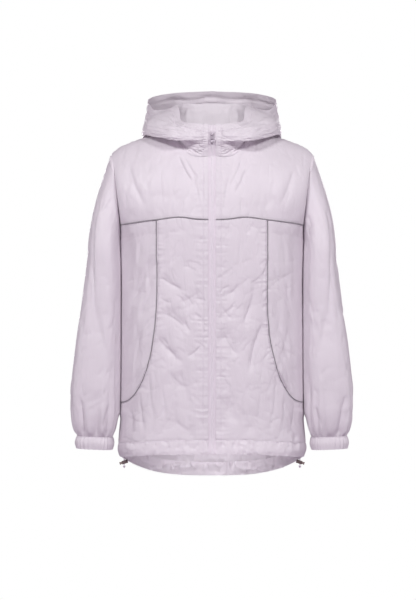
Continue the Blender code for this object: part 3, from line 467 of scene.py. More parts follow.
# Hollows along seams: each row is a depth and a width
DIPS = {
    "plain": (0.0009, 0.0022),
    "armhole": (0.0014, 0.0022),
    "yoke_seam": (0.0006, 0.0022),
    "zip_edge": (0.0003, 0.0014),
    "zip_stitch": (0.0007, 0.0016),
    "back_side": (0.0004, 0.0022),
    "back_top": (0.0006, 0.0022),
    "sleeve_top": (0.0016, 0.0022),
    "sleeve_end": (0.0014, 0.0020),
    "cuff_top": (0.0010, 0.0020),
    "neck": (0.0008, 0.0022),
}
ZIP_TURN_RISE = 0.0002
ZIP_TURN_MIDDLE = 0.0045
ZIP_TURN_WIDTH = 0.0035
HEM_SWELL = 0.0005

# Distances from an edge over which folds grow to their full depth, and what is left of them at some edges
ZIP_FADE = 0.008
YOKE_SEAM_FADE = 0.020
YOKE_ZIP_FADE = 0.006
SIDE_SEAM_FADE = 0.012
SIDE_ARM_FADE = 0.030
SIDE_TOP_FADE = 0.012
BACK_TOP_FADE = 0.020
BODY_SIDE_START = 0.88
BODY_SIDE_FADE = 0.115
SLEEVE_TOP_FADE = 0.025
SLEEVE_END_FADE = 0.05
SLEEVE_END_SHARE = 0.35
SLEEVE_MEETING_TURN = 0.5
NECK_FADE = 0.012
RIM_FADE = 0.010
RIM_SHARE = 0.3

# Contact of the hanging sleeves with the body
PRESS = 0.0012
PRESS_TOP_Z = -0.172
PRESS_BOTTOM_Z = -0.545
PRESS_FADE = 0.020
PRESS_TURN = 0.42

# Gathers at the cuffs
GATHERS = 14
GATHER_REACH = 0.070
GATHER_DEPTH = 0.0056
GATHER_START = 0.012
GATHER_UNEVEN = 0.25
GATHER_UNEVEN_WAVES = (7, 4)
GATHER_UNEVEN_START = 1.0
GATHER_WANDER = ((2.0, 2), (1.2, 5))
GATHER_STRENGTH = (0.72, 0.28)
GATHER_STRENGTH_WAVES = 3
CUFF_RIBS = 32
CUFF_DEPTH = 0.0018
CUFF_EDGE_SHARE = 0.6
CUFF_SWELL = 0.0006
CUFF_FINE = 0.0005
CUFF_FINE_TURN = 0.09
CUFF_FINE_ROWS = 1.4
CUFF_FINE_SEED = 9

# Piping and zip
PIPING_RADIUS = 0.0011
CURVED_PIPING_RADIUS = 0.0009
PIPING_LIFT = 0.0004
PIPING_END = 0.005
TUBE_SIDES = 10
TUBE_SIDEWAYS = (0.31, 0.17, 0.93)
TAPE_POINTS = 6
TAPE_INNER_X = 0.0012
TAPE_OUTER_X = 0.0115
TAPE_DEPTH = 0.0015
TAPE_WALL = 0.0008
CHAIN_HALF = 0.0026
CHAIN_DEPTH = 0.0003
CHAIN_HEIGHT = 0.0014
CHAIN_WALL = 0.0008
CHAIN_POINTS = 11
CHAIN_POWER = 2.5
MIDDLE_GROOVE = 0.0005
MIDDLE_GROOVE_SHARE = 0.12
TOOTH_PITCH = 0.0014
TOOTH_CELLS = 3
TOOTH_DEPTH = 0.00025
TOOTH_END = 1.2
ZIP_TOP_MARGIN = 0.0015

# Stitching
STITCH_LENGTH = 0.0024
STITCH_PITCH = 0.0033
STITCH_RADIUS = 0.00030
STITCH_STAND = 0.8
# Each row is a place along the stitch, a thickness and how far it sinks in
STITCH_STATIONS = ((-0.5, 0.45, 1.0), (0.0, 1.0, 0.0), (0.5, 0.45, 1.0))
STITCH_RING = ((1, 0), (0, 1), (-1, 0), (0, -1))
ZIP_STITCH = 0.0100
HEM_STITCH = 0.0015
SEAM_STITCH = 0.0045
RIM_STITCH = 0.0160
# Each row is a piece, the edge that its line of stitches follows and the distance between them
SIDE_STITCHES = (
    ("hem_front", "zip", ZIP_STITCH),
    ("front_panel", "zip", ZIP_STITCH),
    ("front_yoke", "zip", ZIP_STITCH),
    ("hood_side", "zip", ZIP_STITCH),
    ("front_panel", "far", SEAM_STITCH),
    ("hem_front", "top", HEM_STITCH),
    ("cuff", "top", HEM_STITCH),
    ("hood_side", "bottom", RIM_STITCH),
)
MIDDLE_STITCHES = (
    ("hem_back", "top", HEM_STITCH),
    ("hood_centre", "bottom", RIM_STITCH),
    ("hood_centre", "zip", SEAM_STITCH),
    ("hood_centre", "far", SEAM_STITCH),
)

# Hem cord
CORD_RADIUS = 0.0010
CORD_ANGLE = math.radians(80.0)
CORD_EXIT_Z = -0.6035
CORD_STAND_OFF = 0.0016
CORD_WALL = 0.0024
CORD_ANGLE_STEP = 0.02
CORD_ROUND_STEPS = 3
# Each row is the way in from the hem's inside, and the way down
CORD_ROUTE = (
    (0.0000, 0.0000),
    (0.0022, 0.0001),
    (0.0044, 0.0010),
    (0.0061, 0.0027),
    (0.0069, 0.0050),
    (0.0070, 0.0075),
    (0.0070, 0.0120),
    (0.0070, 0.0165),
    (0.0070, 0.0210),
    (0.0070, 0.0255),
    (0.0070, 0.0310),
)
KNOT_POINTS = 97
KNOT_SCALE = 0.00060
KNOT_CORD = 0.00085
KNOT_DROP = 0.0028

# Rounded edges of the hard pieces
WELD_DISTANCE = 1e-6
SLIDER_EDGE = 0.0003
PULL_EDGE = 0.00025
LOCK_EDGE = 0.0004
EDGE_STEPS = 2
EDGE_ANGLE = math.radians(35.0)

# Colour, camera and light
NYLON_COLOUR = (0.800, 0.750, 0.797)
PIPING_COLOUR = (0.330, 0.310, 0.332)
TAPE_COLOUR = (0.815, 0.752, 0.812)
COIL_COLOUR = (0.830, 0.775, 0.832)
METAL_COLOUR = (0.52, 0.47, 0.53)
PAINT_COLOUR = (0.70, 0.635, 0.70)
CORD_COLOUR = (0.70, 0.62, 0.71)
LOCK_COLOUR = (0.165, 0.115, 0.112)
BUTTON_COLOUR = (0.30, 0.22, 0.20)
THREAD_COLOUR = (0.66, 0.575, 0.675)
SHEEN_ROUGHNESS = 0.45
RAMP_START = 0.3
RAMP_END = 0.7
FLOOR_COLOUR = (0.44, 0.37, 0.45, 1.0)
WHITE = (1.0, 1.0, 1.0, 1.0)
WORLD_COLOUR = (1.0, 0.84, 1.0, 1.0)
WORLD_LIGHT = 0.24
LIGHT_COLUMNS = ("name", "place", "aim", "width", "height", "spread", "watts")
LIGHTS = (
    ("key", (-1.3, -2.8, 1.60), (0.0, 0.0, -0.25), 0.5, 0.5, 180.0, 49.0),
    ("second", (1.5, -2.8, 1.45), (0.0, 0.0, -0.30), 0.5, 0.5, 180.0, 42.0),
    ("fill", (0.0, -3.3, -0.60), (0.0, 0.0, -0.45), 1.2, 1.2, 180.0, 4.0),
    ("behind_left", (0.8, 3.4, 0.20), (0.0, 0.0, -0.30), 0.8, 0.8, 180.0, 24.0),
    ("behind_right", (-0.8, 3.4, 0.20), (0.0, 0.0, -0.30), 0.8, 0.8, 180.0, 24.0),
    ("beside_left", (2.6, 0.25, -0.10), (0.0, 0.05, -0.35), 0.5, 0.5, 180.0, 8.0),
    ("beside_right", (-2.6, 0.25, -0.10), (0.0, 0.05, -0.35), 0.5, 0.5, 180.0, 8.0),
    ("under_hem", (0.0, -0.75, -0.93), (0.0, 0.11, -0.65), 0.24, 0.04, 24.0, 0.105),
)
CAMERA_PLACE = (-0.008, -5.0, -0.306)
CAMERA_LENS = 150.0
CAMERA_SENSOR = 36.0
CAMERA_FAR = 50.0
FLOOR_Z = -0.95
FLOOR_HALF = 4.0
FLOOR_ROUGHNESS = 0.9


def column(table, names, name):
    """One named column of a table."""
    return np.array([row[names.index(name)] for row in table])


def ease(value):
    """A soft step from 0 to 1."""
    share = np.clip(value, 0, 1)
    return share * share * (3 - 2 * share)


def smooth(places, values, at):
    """The smooth curve through a table's rows; values may be numbers or points."""
    places = np.asarray(places, float)
    values = np.asarray(values, float)
    at = np.clip(np.asarray(at, float), places[0], places[-1])
    slopes = np.gradient(values, places, axis=0)
    low = np.clip(np.searchsorted(places, at) - 1, 0, len(places) - 2)
    step = places[low + 1] - places[low]
    share = (at - places[low]) / step
    extra = (1,) * (values.ndim - 1)
    step = step.reshape(step.shape + extra)
    share = share.reshape(share.shape + extra)
    rise = ease(share)
    start = share * (1 - share) ** 2 * step
    end = share * share * (share - 1) * step
    return (1 - rise) * values[low] + rise * values[low + 1] + start * slopes[low] + end * slopes[low + 1]


def unit(vectors):
    return vectors / np.maximum(np.linalg.norm(vectors, axis=-1, keepdims=True), 1e-12)


def run_along(line):
    """The length along a line at each of its points."""
    return np.concatenate([[0], np.cumsum(np.linalg.norm(np.diff(line, axis=0), axis=1))])


def at_run(at, run, line):
    """Points of a line at lengths along it."""
    return np.stack([np.interp(at, run, line[:, axis]) for axis in range(3)], axis=-1)


def across_at(angle):
    """The share of the body's half width on a girth angle."""
    return np.abs(np.sin(angle)) ** (2 / SECTION_POWER)


def ridge(x):
    """Height of the shoulder ridge."""
    out = x - NECK_X
    droop = RIDGE_DROOP * (np.maximum(out, 0) / (SHOULDER_X - NECK_X)) ** RIDGE_DROOP_POWER
    return RIDGE_AT_NECK - RIDGE_SLOPE * out - droop


def profile(table, names, name, z):
    """One named size of a table of sections, at a height."""
    return smooth(column(table, names, "z"), column(table, names, name), z)


def trunk(name, z):
    return profile(TRUNK, TRUNK_COLUMNS, name, z)


def reach(level):
    """Half width of the body's front view."""
    low = trunk("half_width", ARMPIT_Z + np.minimum(level, 0))
    return low + (SHOULDER_X - low) * np.maximum(level, 0) ** REACH_POWER


def body(angle, level, facing):
    """Points of the body's outer face on the wearer's left half."""
    angle, level = np.broadcast_arrays(np.asarray(angle, float), np.asarray(level, float))
    share = np.clip(level, 0, 1)
    low_z = ARMPIT_Z + np.minimum(level, 0)
    across = across_at(angle)
    ahead = np.abs(np.cos(angle)) ** (2 / SECTION_POWER)
    power = ROUNDING[facing]
    depth = trunk(facing + "_depth", low_z) * (1 - share**power) ** (1 / power)
    loop = (1 - np.abs(2 * share - 1) ** ARMHOLE_POWER) ** (1 / ARMHOLE_POWER)
    gentle = np.abs(np.sin(math.pi * share)) ** ARMHOLE_START
    near_loop = (1 - ahead) ** 2
    edge = ARMHOLE_DEPTH[facing] * (near_loop * loop + (1 - near_loop) * gentle)
    x = across * reach(level)
    y = edge + (depth - edge) * ahead
    z = np.where(level <= 0, low_z, ARMPIT_Z + share * (ridge(x) - ARMPIT_Z))
    return np.stack([x, -y if facing == "front" else y, z], axis=-1)


def level_at(angle, z):
    """The level of a height on one girth angle."""
    across = across_at(angle)
    share = np.zeros(np.broadcast(angle, z).shape)
    for _ in range(SOLVER_ROUNDS):
        share = np.clip((z - ARMPIT_Z) / (ridge(across * reach(share)) - ARMPIT_Z), 0, 1)
    return np.where(z <= ARMPIT_Z, z - ARMPIT_Z, share)


def angle_of(x, level):
    """The girth angle at which the body is x wide."""
    return np.arcsin(np.clip(x / reach(level), 0, 1) ** (SECTION_POWER / 2))


def yoke_level(angle):
    """The level of the yoke seam on a girth angle."""
    xs = column(YOKE_SEAM, YOKE_SEAM_COLUMNS, "x")
    zs = column(YOKE_SEAM, YOKE_SEAM_COLUMNS, "z")
    across = across_at(angle)
    share = np.full(np.shape(angle), FIRST_LEVEL)
    for _ in range(SOLVER_ROUNDS):
        x = across * reach(share)
        share = (smooth(xs, zs, x) - ARMPIT_Z) / (ridge(x) - ARMPIT_Z)
    return share


NECK_ACROSS = NECK_X / SHOULDER_X
NECK_ANGLE = math.asin(NECK_ACROSS ** (SECTION_POWER / 2))


def top_level(angle, facing):
    """The level of the neck seam, or the ridge outside it."""
    across = across_at(angle)
    share = np.clip(across / NECK_ACROSS, 0, 1)
    low = NECK_SHARE[facing]
    return low + (1 - low) * share ** NECK_POWER[facing]


def curved_seam_course():
    """Girth angles and heights down the curved seam, with the share of its length at each."""
    top = float(yoke_level(angle_of(CURVED_SEAM_X, FIRST_LEVEL)))
    top_angle = angle_of(CURVED_SEAM_X, top)
    top_z = body(top_angle, top, "front")[2]
    side = trunk("half_width", CURVED_SEAM_END_Z) * CURVED_SEAM_END
    turn = np.linspace(0, QUARTER, DENSE)
    z = np.concatenate([
        np.linspace(top_z, CURVED_SEAM_BEND_Z, DENSE)[:-1],
        CURVED_SEAM_BEND_Z + (CURVED_SEAM_END_Z - CURVED_SEAM_BEND_Z) * np.sin(turn),
    ])
    x = np.concatenate([
        np.full(DENSE - 1, CURVED_SEAM_X),
        CURVED_SEAM_X + (side - CURVED_SEAM_X) * (1 - np.cos(turn)),
    ])
    angle = angle_of(x, level_at(angle_of(x, 0.0), z))
    points = body(angle, level_at(angle, z), "front")
    length = run_along(points)
    return angle, z, length / length[-1]


SEAM_ANGLES, SEAM_HEIGHTS, SEAM_SHARES = curved_seam_course()


def curved_seam(share):
    return np.interp(share, SEAM_SHARES, SEAM_ANGLES), np.interp(share, SEAM_SHARES, SEAM_HEIGHTS)


def zip_angle(level):
    return angle_of(ZIP_EDGE, level)


def steps(*runs):
    """Evenly spaced values through runs of (start, end, cells), each run sharing its end with the next."""
    values = [np.linspace(start, end, cells + 1)[:-1] for start, end, cells in runs]
    return np.concatenate(values + [[runs[-1][1]]])


def hem_bottom(angle, facing):
    """Height of the hem's lower edge."""
    if facing == "front":
        return HEM_FRONT_Z + (HEM_SIDE_Z - HEM_FRONT_Z) * np.sin(angle) ** 2
    return HEM_SIDE_Z - HEM_BACK_DROP * (1 - np.sin(angle) ** 2 * (angle / QUARTER) ** (HEM_BACK_POWER - 1))


def yoke_angles():
    """Girth angles of the yoke's columns at its seam."""
    start = zip_angle(NECK_SHARE["front"] * ZIP_LEVEL_SHARE)
    return steps(
        (start, NECK_ANGLE, NECK_CELLS),
        (NECK_ANGLE, SEAM_ANGLES[0], INNER_SHOULDER_CELLS),
        (SEAM_ANGLES[0], QUARTER, OUTER_SHOULDER_CELLS),
    )


def at_zip(points):
    """The piece with its first column on the zip edge exactly."""
    points[:, 0, 0] = ZIP_EDGE
    return points


def yoke():
    angle = yoke_angles()[None, :]
    low = yoke_level(angle)
    rise = np.sin(np.linspace(0, QUARTER, YOKE_ROWS + 1))[:, None]
    return at_zip(body(angle, low + (top_level(angle, "front") - low) * rise, "front"))


def filled(left, right, top, bottom, bottom_power=1):
    """Girth angles and heights inside four edges; the power keeps the lower edge's bends low."""
    down = np.linspace(0, 1, len(left[0]))[:, None]
    over = np.linspace(0, 1, len(top[0]))[None, :]
    sheets = []
    for side_a, side_b, end_a, end_b in zip(left, right, top, bottom):
        ruled = (1 - over) * side_a[:, None] + over * side_b[:, None]
        top_bend = end_a[None, :] - (1 - over) * end_a[0] - over * end_a[-1]
        bottom_bend = end_b[None, :] - (1 - over) * end_b[0] - over * end_b[-1]
        sheets.append(ruled + (1 - down) * top_bend + down**bottom_power * bottom_bend)
    return sheets


def yoke_edge(first, last):
    angle = yoke_angles()[first : last + 1]
    return angle, body(angle, yoke_level(angle), "front")[:, 2]


def front_panel():
    """From the yoke seam down; its lower edge runs along the hem and up the side seam to the curved seam."""
    inner = NECK_CELLS + INNER_SHOULDER_CELLS
    top = yoke_edge(0, inner)
    right = curved_seam(np.linspace(0, 1, SEAM_ROWS + 1))
    hem_angle = front_hem_angles()
    hem_z = hem_bottom(hem_angle, "front") + HEM_HEIGHT
    side_z = np.linspace(hem_z[-1], CURVED_SEAM_END_Z, LOWER_ROWS + 1)[1:]
    side_angle = np.full(LOWER_ROWS, QUARTER)
    side_angle[-1] = right[0][-1]
    bottom = (np.append(hem_angle, side_angle), np.append(hem_z, side_z))
    left_z = np.linspace(top[1][0], hem_z[0], SEAM_ROWS + 1)
    left_angle = np.linspace(top[0][0], hem_angle[0], len(left_z))
    angle, z = filled((left_angle, left_z), right, top, bottom, PANEL_FOOT_POWER)
    angle = np.clip(angle, 0, QUARTER)
    return at_zip(body(angle, level_at(angle, z), "front"))


def front_hem_angles():
    """Girth angles along the top of the front hem, from the zip to the side seam."""
    cells = NECK_CELLS + INNER_SHOULDER_CELLS - LOWER_ROWS
    return np.linspace(float(zip_angle(HEM_FRONT_Z - ARMPIT_Z)), QUARTER, cells + 1)


def side_edge_levels():
    """Levels down the front armhole edge from the yoke, then down the side seam."""
    rest = 1 - np.linspace(0, 1, ARMHOLE_ROWS + 1)
    arm = yoke_level(QUARTER) * rest**2
    low = np.linspace(0, CURVED_SEAM_END_Z - ARMPIT_Z, SEAM_ROWS - ARMHOLE_ROWS + 1)
    return np.append(arm, low[1:])


def side_panel():
    inner = NECK_CELLS + INNER_SHOULDER_CELLS
    top = yoke_edge(inner, inner + OUTER_SHOULDER_CELLS)
    left = curved_seam(np.linspace(0, 1, SEAM_ROWS + 1))
    levels = side_edge_levels()
    right = (np.full(len(levels), QUARTER), body(QUARTER, levels, "front")[:, 2])
    bottom_angle = np.linspace(left[0][-1], QUARTER, OUTER_SHOULDER_CELLS + 1)
    bottom = (bottom_angle, np.full(len(bottom_angle), CURVED_SEAM_END_Z))
    angle, z = filled(left, right, top, bottom)
    angle = np.clip(angle, 0, QUARTER)
    return eased_at_armpit(body(angle, level_at(angle, z), "front"))


def eased_at_armpit(points):
    """The same piece with the break at the armpit's level eased; its edges stay."""
    soft = points[..., 1].copy()
    for _ in range(ARMPIT_ROUNDS):
        soft[1:-1] += (soft[2:] - 2 * soft[1:-1] + soft[:-2]) / 4
    cells = np.arange(points.shape[1])
    share = ease(np.minimum(cells, cells[::-1]) / ARMPIT_CELLS)
    share = share * np.exp(-(((points[..., 2] - ARMPIT_Z) / ARMPIT_REACH) ** 2))
    eased = points.copy()
    eased[..., 1] += share * (soft - points[..., 1])
    return eased


def both_halves(half):
    """A piece across the middle, from its wearer's-left half that ends on the middle."""
    return np.concatenate([half, half[:, -2::-1] * (-1, 1, 1)], axis=1)


def back_angles():
    """Girth angles from the side seam to the middle of the back."""
    return steps((QUARTER, NECK_ANGLE, BACK_SHOULDER_CELLS), (NECK_ANGLE, 0, BACK_NECK_CELLS))


def back_panel():
    angle = back_angles()[None, :]
    rise = np.sin(np.linspace(QUARTER, 0, BACK_ROWS + 1))[:-1, None]
    upper = top_level(angle, "back") * rise
    trunk_levels = side_edge_levels()[ARMHOLE_ROWS::BACK_ROW_STEP]
    middle = np.broadcast_to(trunk_levels[:, None], (len(trunk_levels), angle.shape[1]))
    hem_level = hem_bottom(angle, "back") + HEM_HEIGHT - ARMPIT_Z
    share = np.linspace(0, 1, 2 * LOWER_ROWS + 1)[1:, None]
    lower = trunk_levels[-1] + (hem_level - trunk_levels[-1]) * share
    return eased_at_armpit(both_halves(body(angle, np.concatenate([upper, middle, lower]), "back")))


def hem(facing):
    """The hem tunnel under one front panel, or across the whole back."""
    start = front_hem_angles()[0] if facing == "front" else 0.0
    angle = np.linspace(start, QUARTER, HEM_CELLS + 1)[None, :]
    angle = angle if facing == "front" else angle[:, ::-1]
    drop = np.linspace(1, 0, HEM_ROWS + 1)[:, None]
    points = body(angle, hem_bottom(angle, facing) + HEM_HEIGHT * drop - ARMPIT_Z, facing)
    return at_zip(points) if facing == "front" else both_halves(points)


def armhole(turn):
    level = (1 + np.cos(turn)) / 2
    front = body(QUARTER, level, "front")
    back = body(QUARTER, level, "back")
    return np.where((turn <= math.pi)[:, None], front, back)


def arm_ring(turn, z):
    """One oval ring of the sleeve."""
    outer, inner, middle_y, half_depth = (
        profile(SLEEVE, SLEEVE_COLUMNS, name, z) for name in SLEEVE_COLUMNS[1:]
    )
    swing, sway = (
        np.sign(part) * np.abs(part) ** (2 / SLEEVE_POWER) for part in (np.cos(turn), np.sin(turn))
    )
    x = (outer + inner) / 2 + (outer - inner) / 2 * swing
    y = middle_y - half_depth * sway
    tilt = CUFF_TILT * np.clip((SLEEVE_TOP_Z - z) / (SLEEVE_TOP_Z - CUFF_TOP_Z), 0, 1)
    return np.stack([x, y, z + tilt * swing], axis=-1)


def turns(count):
    """Evenly spaced turns round a ring."""
    return np.linspace(0, 2 * math.pi, count + 1)[:-1]


def sleeve():
    turn = turns(SLEEVE_CELLS)
    start = armhole(turn)
    end = arm_ring(turn, SLEEVE_TOP_Z)
    span = np.linalg.norm(end - start, axis=1)[:, None]
    leave = np.array(SLEEVE_LEAVES) * span
    arrive = np.array((0.0, 0.0, -1.0)) * span
    rings = []
    for share in np.linspace(0, 1, CAP_ROWS + 1)[:-1]:
        rise = ease(share)
        curve = share * (1 - share) ** 2 * leave + share * share * (share - 1) * arrive
        rings.append((1 - rise) * start + rise * end + curve)
    for z in np.linspace(SLEEVE_TOP_Z, CUFF_TOP_Z, ARM_ROWS + 1):
        rings.append(arm_ring(turn, z))
    return np.array(rings)


def cuff():
    turn = turns(SLEEVE_CELLS)
    return np.array([arm_ring(turn, z) for z in np.linspace(CUFF_TOP_Z, CUFF_BOTTOM_Z, CUFF_ROWS + 1)])


def hood_places():
    """Places round the neck from the zip edge to the middle of the back."""
    return steps((0.0, NECK_SIDE, NECK_CELLS), (NECK_SIDE, 1.0, BACK_NECK_CELLS))


def hood_seam_column():
    """The column of the seam between the hood's side and its centre."""
    return int(np.argmin(np.abs(hood_places() - HOOD_SEAM)))


def hood():
    """The wearer's-left half of the hood, from the neck seam to the rim."""
    places = hood_places()
    angle = np.linspace(NECK_ANGLE, 0, BACK_NECK_CELLS + 1)[1:]
    neck = np.concatenate([yoke()[-1, : NECK_CELLS + 1], body(angle, top_level(angle, "back"), "back")])
    rails = [neck] + [smooth(HOOD_STATIONS, rail, places) for rail in HOOD_RAILS.values()]
    points = smooth(HOOD_KNOTS, np.array(rails), np.linspace(0, 1, HOOD_ROWS + 1))
    points[:, -1, 0] = 0.0
    return at_zip(points)


def grid_normals(points, closed):
    wrapped = np.concatenate([points[:, -1:], points, points[:, :1]], axis=1) if closed else points
    down = np.gradient(wrapped, axis=0)
    over = np.gradient(wrapped, axis=1)
    normals = unit(np.cross(down, over))
    return normals[:, 1:-1] if closed else normals


class Panel:
    """A cloth piece: a grid of points on its outer face, with the way out and the distance to each edge.

    look_from is a share of the rows, a share of the columns, and a way that is roughly outward there.
    """

    def __init__(self, points, look_from, closed=False, wall=SHELL):
        self.points = points
        self.closed = closed
        self.wall = wall
        self.normals = grid_normals(points, closed)
        row_share, place_share, way = look_from
        row = int(row_share * (points.shape[0] - 1))
        place = int(place_share * (points.shape[1] - 1))
        if np.dot(self.normals[row, place], way) < 0:
            self.normals = -self.normals
        self.measure()

    def measure(self):
        """Places across and up, distances from each edge along the cloth, and the flat cut."""
        self.x = self.points[..., 0]
        self.z = self.points[..., 2]
        over = np.linalg.norm(np.diff(self.points, axis=1), axis=2)
        down = np.linalg.norm(np.diff(self.points, axis=0), axis=2)
        self.from_first = np.pad(np.cumsum(over, axis=1), ((0, 0), (1, 0)))
        self.from_top = np.pad(np.cumsum(down, axis=0), ((1, 0), (0, 0)))
        self.from_last = self.from_first[:, -1:] - self.from_first
        self.from_bottom = self.from_top[-1:] - self.from_top
        self.flat = (float(self.from_first.max()), float(self.from_top.max()))
        lengths = (over[1:] + over[:-1]) / 2
        widths = (down[:, 1:] + down[:, :-1]) / 2
        self.area = float((lengths * widths).sum())

    def altered(self, change):
        """The piece with a change made to its points and its ways out."""
        other = Panel.__new__(Panel)
        other.points = change(self.points)
        other.normals = change(self.normals)
        other.closed = self.closed
        other.wall = self.wall
        other.measure()
        return other

    def mirrored(self):
        return self.altered(lambda grid: grid[:, ::-1] * (-1, 1, 1))

    def cut(self, columns):
        return self.altered(lambda grid: grid[:, columns])

    def joined(self):
        """The piece with its mirrored other half, on the last column."""
        return self.altered(both_halves)


def cut_panels():
    """Every cloth piece by name."""
    ahead = (0, -1, 0)
    behind = (0, 1, 0)
    out = (1, 0, 0)
    half_hood = Panel(hood(), (0.48, 0.0, ahead))
    seam = hood_seam_column()
    left = {
        "front_yoke": Panel(yoke(), (0.0, 0.3, ahead)),
        "front_panel": Panel(front_panel(), (0.3, 0.3, ahead)),
        "side_panel": Panel(side_panel(), (0.3, 0.3, ahead)),
        "hem_front": Panel(hem("front"), (0.0, 0.3, ahead), wall=HEM_SHELL),
        "sleeve": Panel(sleeve(), (0.6, 0.0, out), closed=True),
        "cuff": Panel(cuff(), (0.5, 0.0, out), closed=True, wall=HEM_SHELL),
        "hood_side": half_hood.cut(slice(0, seam + 1)),
    }
    panels = {}
    for name, panel in left.items():
        panels[name + "_left"] = panel
        panels[name + "_right"] = panel.mirrored()
    panels["back_panel"] = Panel(back_panel(), (0.5, 0.5, behind))
    panels["hem_back"] = Panel(hem("back"), (0.0, 0.5, behind), wall=HEM_SHELL)
    panels["hood_centre"] = half_hood.cut(slice(seam, None)).joined()
    return panels


def patches(u, v, seed):
    """Soft random patches between -1 and 1, one a unit wide."""
    size = PATCH_CELLS
    table = np.random.default_rng(seed).uniform(-1, 1, (size, size))
    low_u = np.floor(u).astype(int)
    low_v = np.floor(v).astype(int)
    share_u = ease(u - low_u)
    share_v = ease(v - low_v)
    rows = [(1 - share_u) * table[low_u % size, (low_v + step) % size]
            + share_u * table[(low_u + 1) % size, (low_v + step) % size] for step in (0, 1)]
    return (1 - share_v) * rows[0] + share_v * rows[1]


def ripples(along, seed):
    """Soft random ripples between -1 and 1 along a line, one a unit long."""
    return patches(along, np.full(np.shape(along), 0.5), seed)


def layers(rows, u, v, seed):
    """Patches added up, one layer for each row."""
    return sum(height * patches(u / width, v / length, seed + step) for height, width, length, step in rows)


def folds(table, u, v, around=None):
    """The depth of creases, each a steep step in and a gentle way out; around is a tube's girth."""
    total = np.zeros(np.shape(u))
    for u0, v0, u1, v1, width, depth, bow in table:
        length = math.hypot(u1 - u0, v1 - v0)
        way_u, way_v = (u1 - u0) / length, (v1 - v0) / length
        over = u - u0
        if around:
            over = (over + around / 2) % around - around / 2
        share = (over * way_u + (v - v0) * way_v) / length
        offset = over * way_v - (v - v0) * way_u - bow * 4 * share * (1 - share)
        below = math.copysign(1, way_u) * offset / width
        taper = ease(share / FOLD_TAPER) * ease((1 - share) / FOLD_TAPER)
        apart = np.where(below > 0, below, -FOLD_STEEPNESS * below)
        total -= depth * taper * np.exp(FOLD_SOFTNESS - np.sqrt(apart**2 + FOLD_SOFTNESS**2))
    return FOLD_GAIN * total


def crinkle(u, v, seed, puff=1.0):
    """Fine uneven crinkles of light nylon, longer up than across, on soft swells."""
    height = layers(STREAKS, u, v, seed) + puff * layers(SWELLS, u, v, seed)
    bent = []
    for axis, (far, size, step) in zip((u, v), CREASE_BENDS):
        bent.append(axis + far * patches(u / size, v / size, seed + step))
    for depth, width, length, step, sharpness in CREASES:
        line = 1 - np.abs(patches(bent[0] / width, bent[1] / length, seed + step))
        height = height - depth * line**sharpness
    return height


def scattered(areas, seed):
    """A table of small creases, placed at random inside areas."""
    chance = np.random.default_rng(seed)
    rows = []
    for low_u, high_u, low_v, high_v, count, length, lean, deep in areas:
        for _ in range(count):
            u = chance.uniform(low_u, high_u)
            v = chance.uniform(low_v, high_v)
            turn = math.radians(lean + chance.normal(0, SCATTER_TURN))
            half = length * chance.uniform(*SCATTER_HALVES)
            step_u, step_v = half * math.cos(turn), half * math.sin(turn)
            width = SCATTER_WIDTH * chance.uniform(*SCATTER_WIDTHS)
            depth = deep * chance.uniform(*SCATTER_DEPTHS)
            bow = half * chance.uniform(*SCATTER_BOWS)
            rows.append((u - step_u, v - step_v, u + step_u, v + step_v, width, depth, bow))
    return tuple(rows)


def wavering(usual, along, seed):
    """A value that wavers along a line, from its middle and its change."""
    middle, change = usual
    return middle + change * ripples(along, seed)


def pucker(name, distance, along, seed=0):
    """Short slanting wrinkles that run out from a stitched line and die away."""
    own_seed, depth, reach_out, pitch = PUCKERS[name]
    seed = seed + own_seed
    slant, strength, length = (
        wavering((middle, change), along / (pitches * pitch), seed + step)
        for middle, change, pitches, step in (PUCKER_SLANT, PUCKER_STRENGTH, PUCKER_LENGTH)
    )
    wave = ripples((along + slant * distance) / pitch, seed)
    length = reach_out * length
    return depth * strength * wave * np.exp(-((distance / length) ** 2)) * ease(distance / PUCKER_START)


def seam_dip(distance, name="plain"):
    """The hollow along a seam."""
    depth, width = DIPS[name]
    return -depth * np.exp(-((distance / width) ** 2))


def half_width(z):
    low = trunk("half_width", np.minimum(z, ARMPIT_Z))
    rise = np.clip((z - ARMPIT_Z) / (ridge(SHOULDER_X) - ARMPIT_Z), 0, 1)
    return low + (SHOULDER_X - low) * rise**REACH_POWER


def pressed(z):
    """How far the side of the body and the hanging sleeve each bulge to touch, fading above and below."""
    inner = profile(SLEEVE, SLEEVE_COLUMNS, "inner_x", z)
    gap = np.maximum(inner - trunk("half_width", np.minimum(z, ARMPIT_Z)), 0)
    fade = ease((PRESS_TOP_Z - z) / PRESS_FADE) * ease((z - PRESS_BOTTOM_Z) / PRESS_FADE)
    return (gap / 2 + PRESS) * fade


def body_relief(panel, table, areas, seed):
    """Folds and crinkles of the body in the front or back view, still at the side seams and armholes."""
    x, z = panel.x, panel.z
    near_side = ease((np.abs(x) / half_width(z) - BODY_SIDE_START) / BODY_SIDE_FADE)
    small = folds(scattered(areas, seed), x, z)
    return (1 - near_side) * (folds(table, x, z) + small + crinkle(x, z, seed)) + near_side * pressed(z)


def front_folds(panel):
    return body_relief(panel, FRONT_FOLDS, FRONT_SCATTER, FRONT_SEED)


def back_folds(panel):
    return body_relief(panel, BACK_FOLDS, BACK_SCATTER, BACK_SEED)


def zip_side(panel, side):
    """Distance from the zip edge and from the far edge."""
    return (panel.from_first, panel.from_last) if side == "left" else (panel.from_last, panel.from_first)


def zip_edge_relief(distance, z, seed):
    """The turned edge beside the zip, its stitched line and the puckers from that."""
    turned = ZIP_TURN_RISE * np.exp(-(((distance - ZIP_TURN_MIDDLE) / ZIP_TURN_WIDTH) ** 2))
    line = seam_dip(distance, "zip_edge") + seam_dip(distance - ZIP_STITCH, "zip_stitch")
    return turned + line + pucker("zip", np.abs(distance - ZIP_STITCH), z, seed)


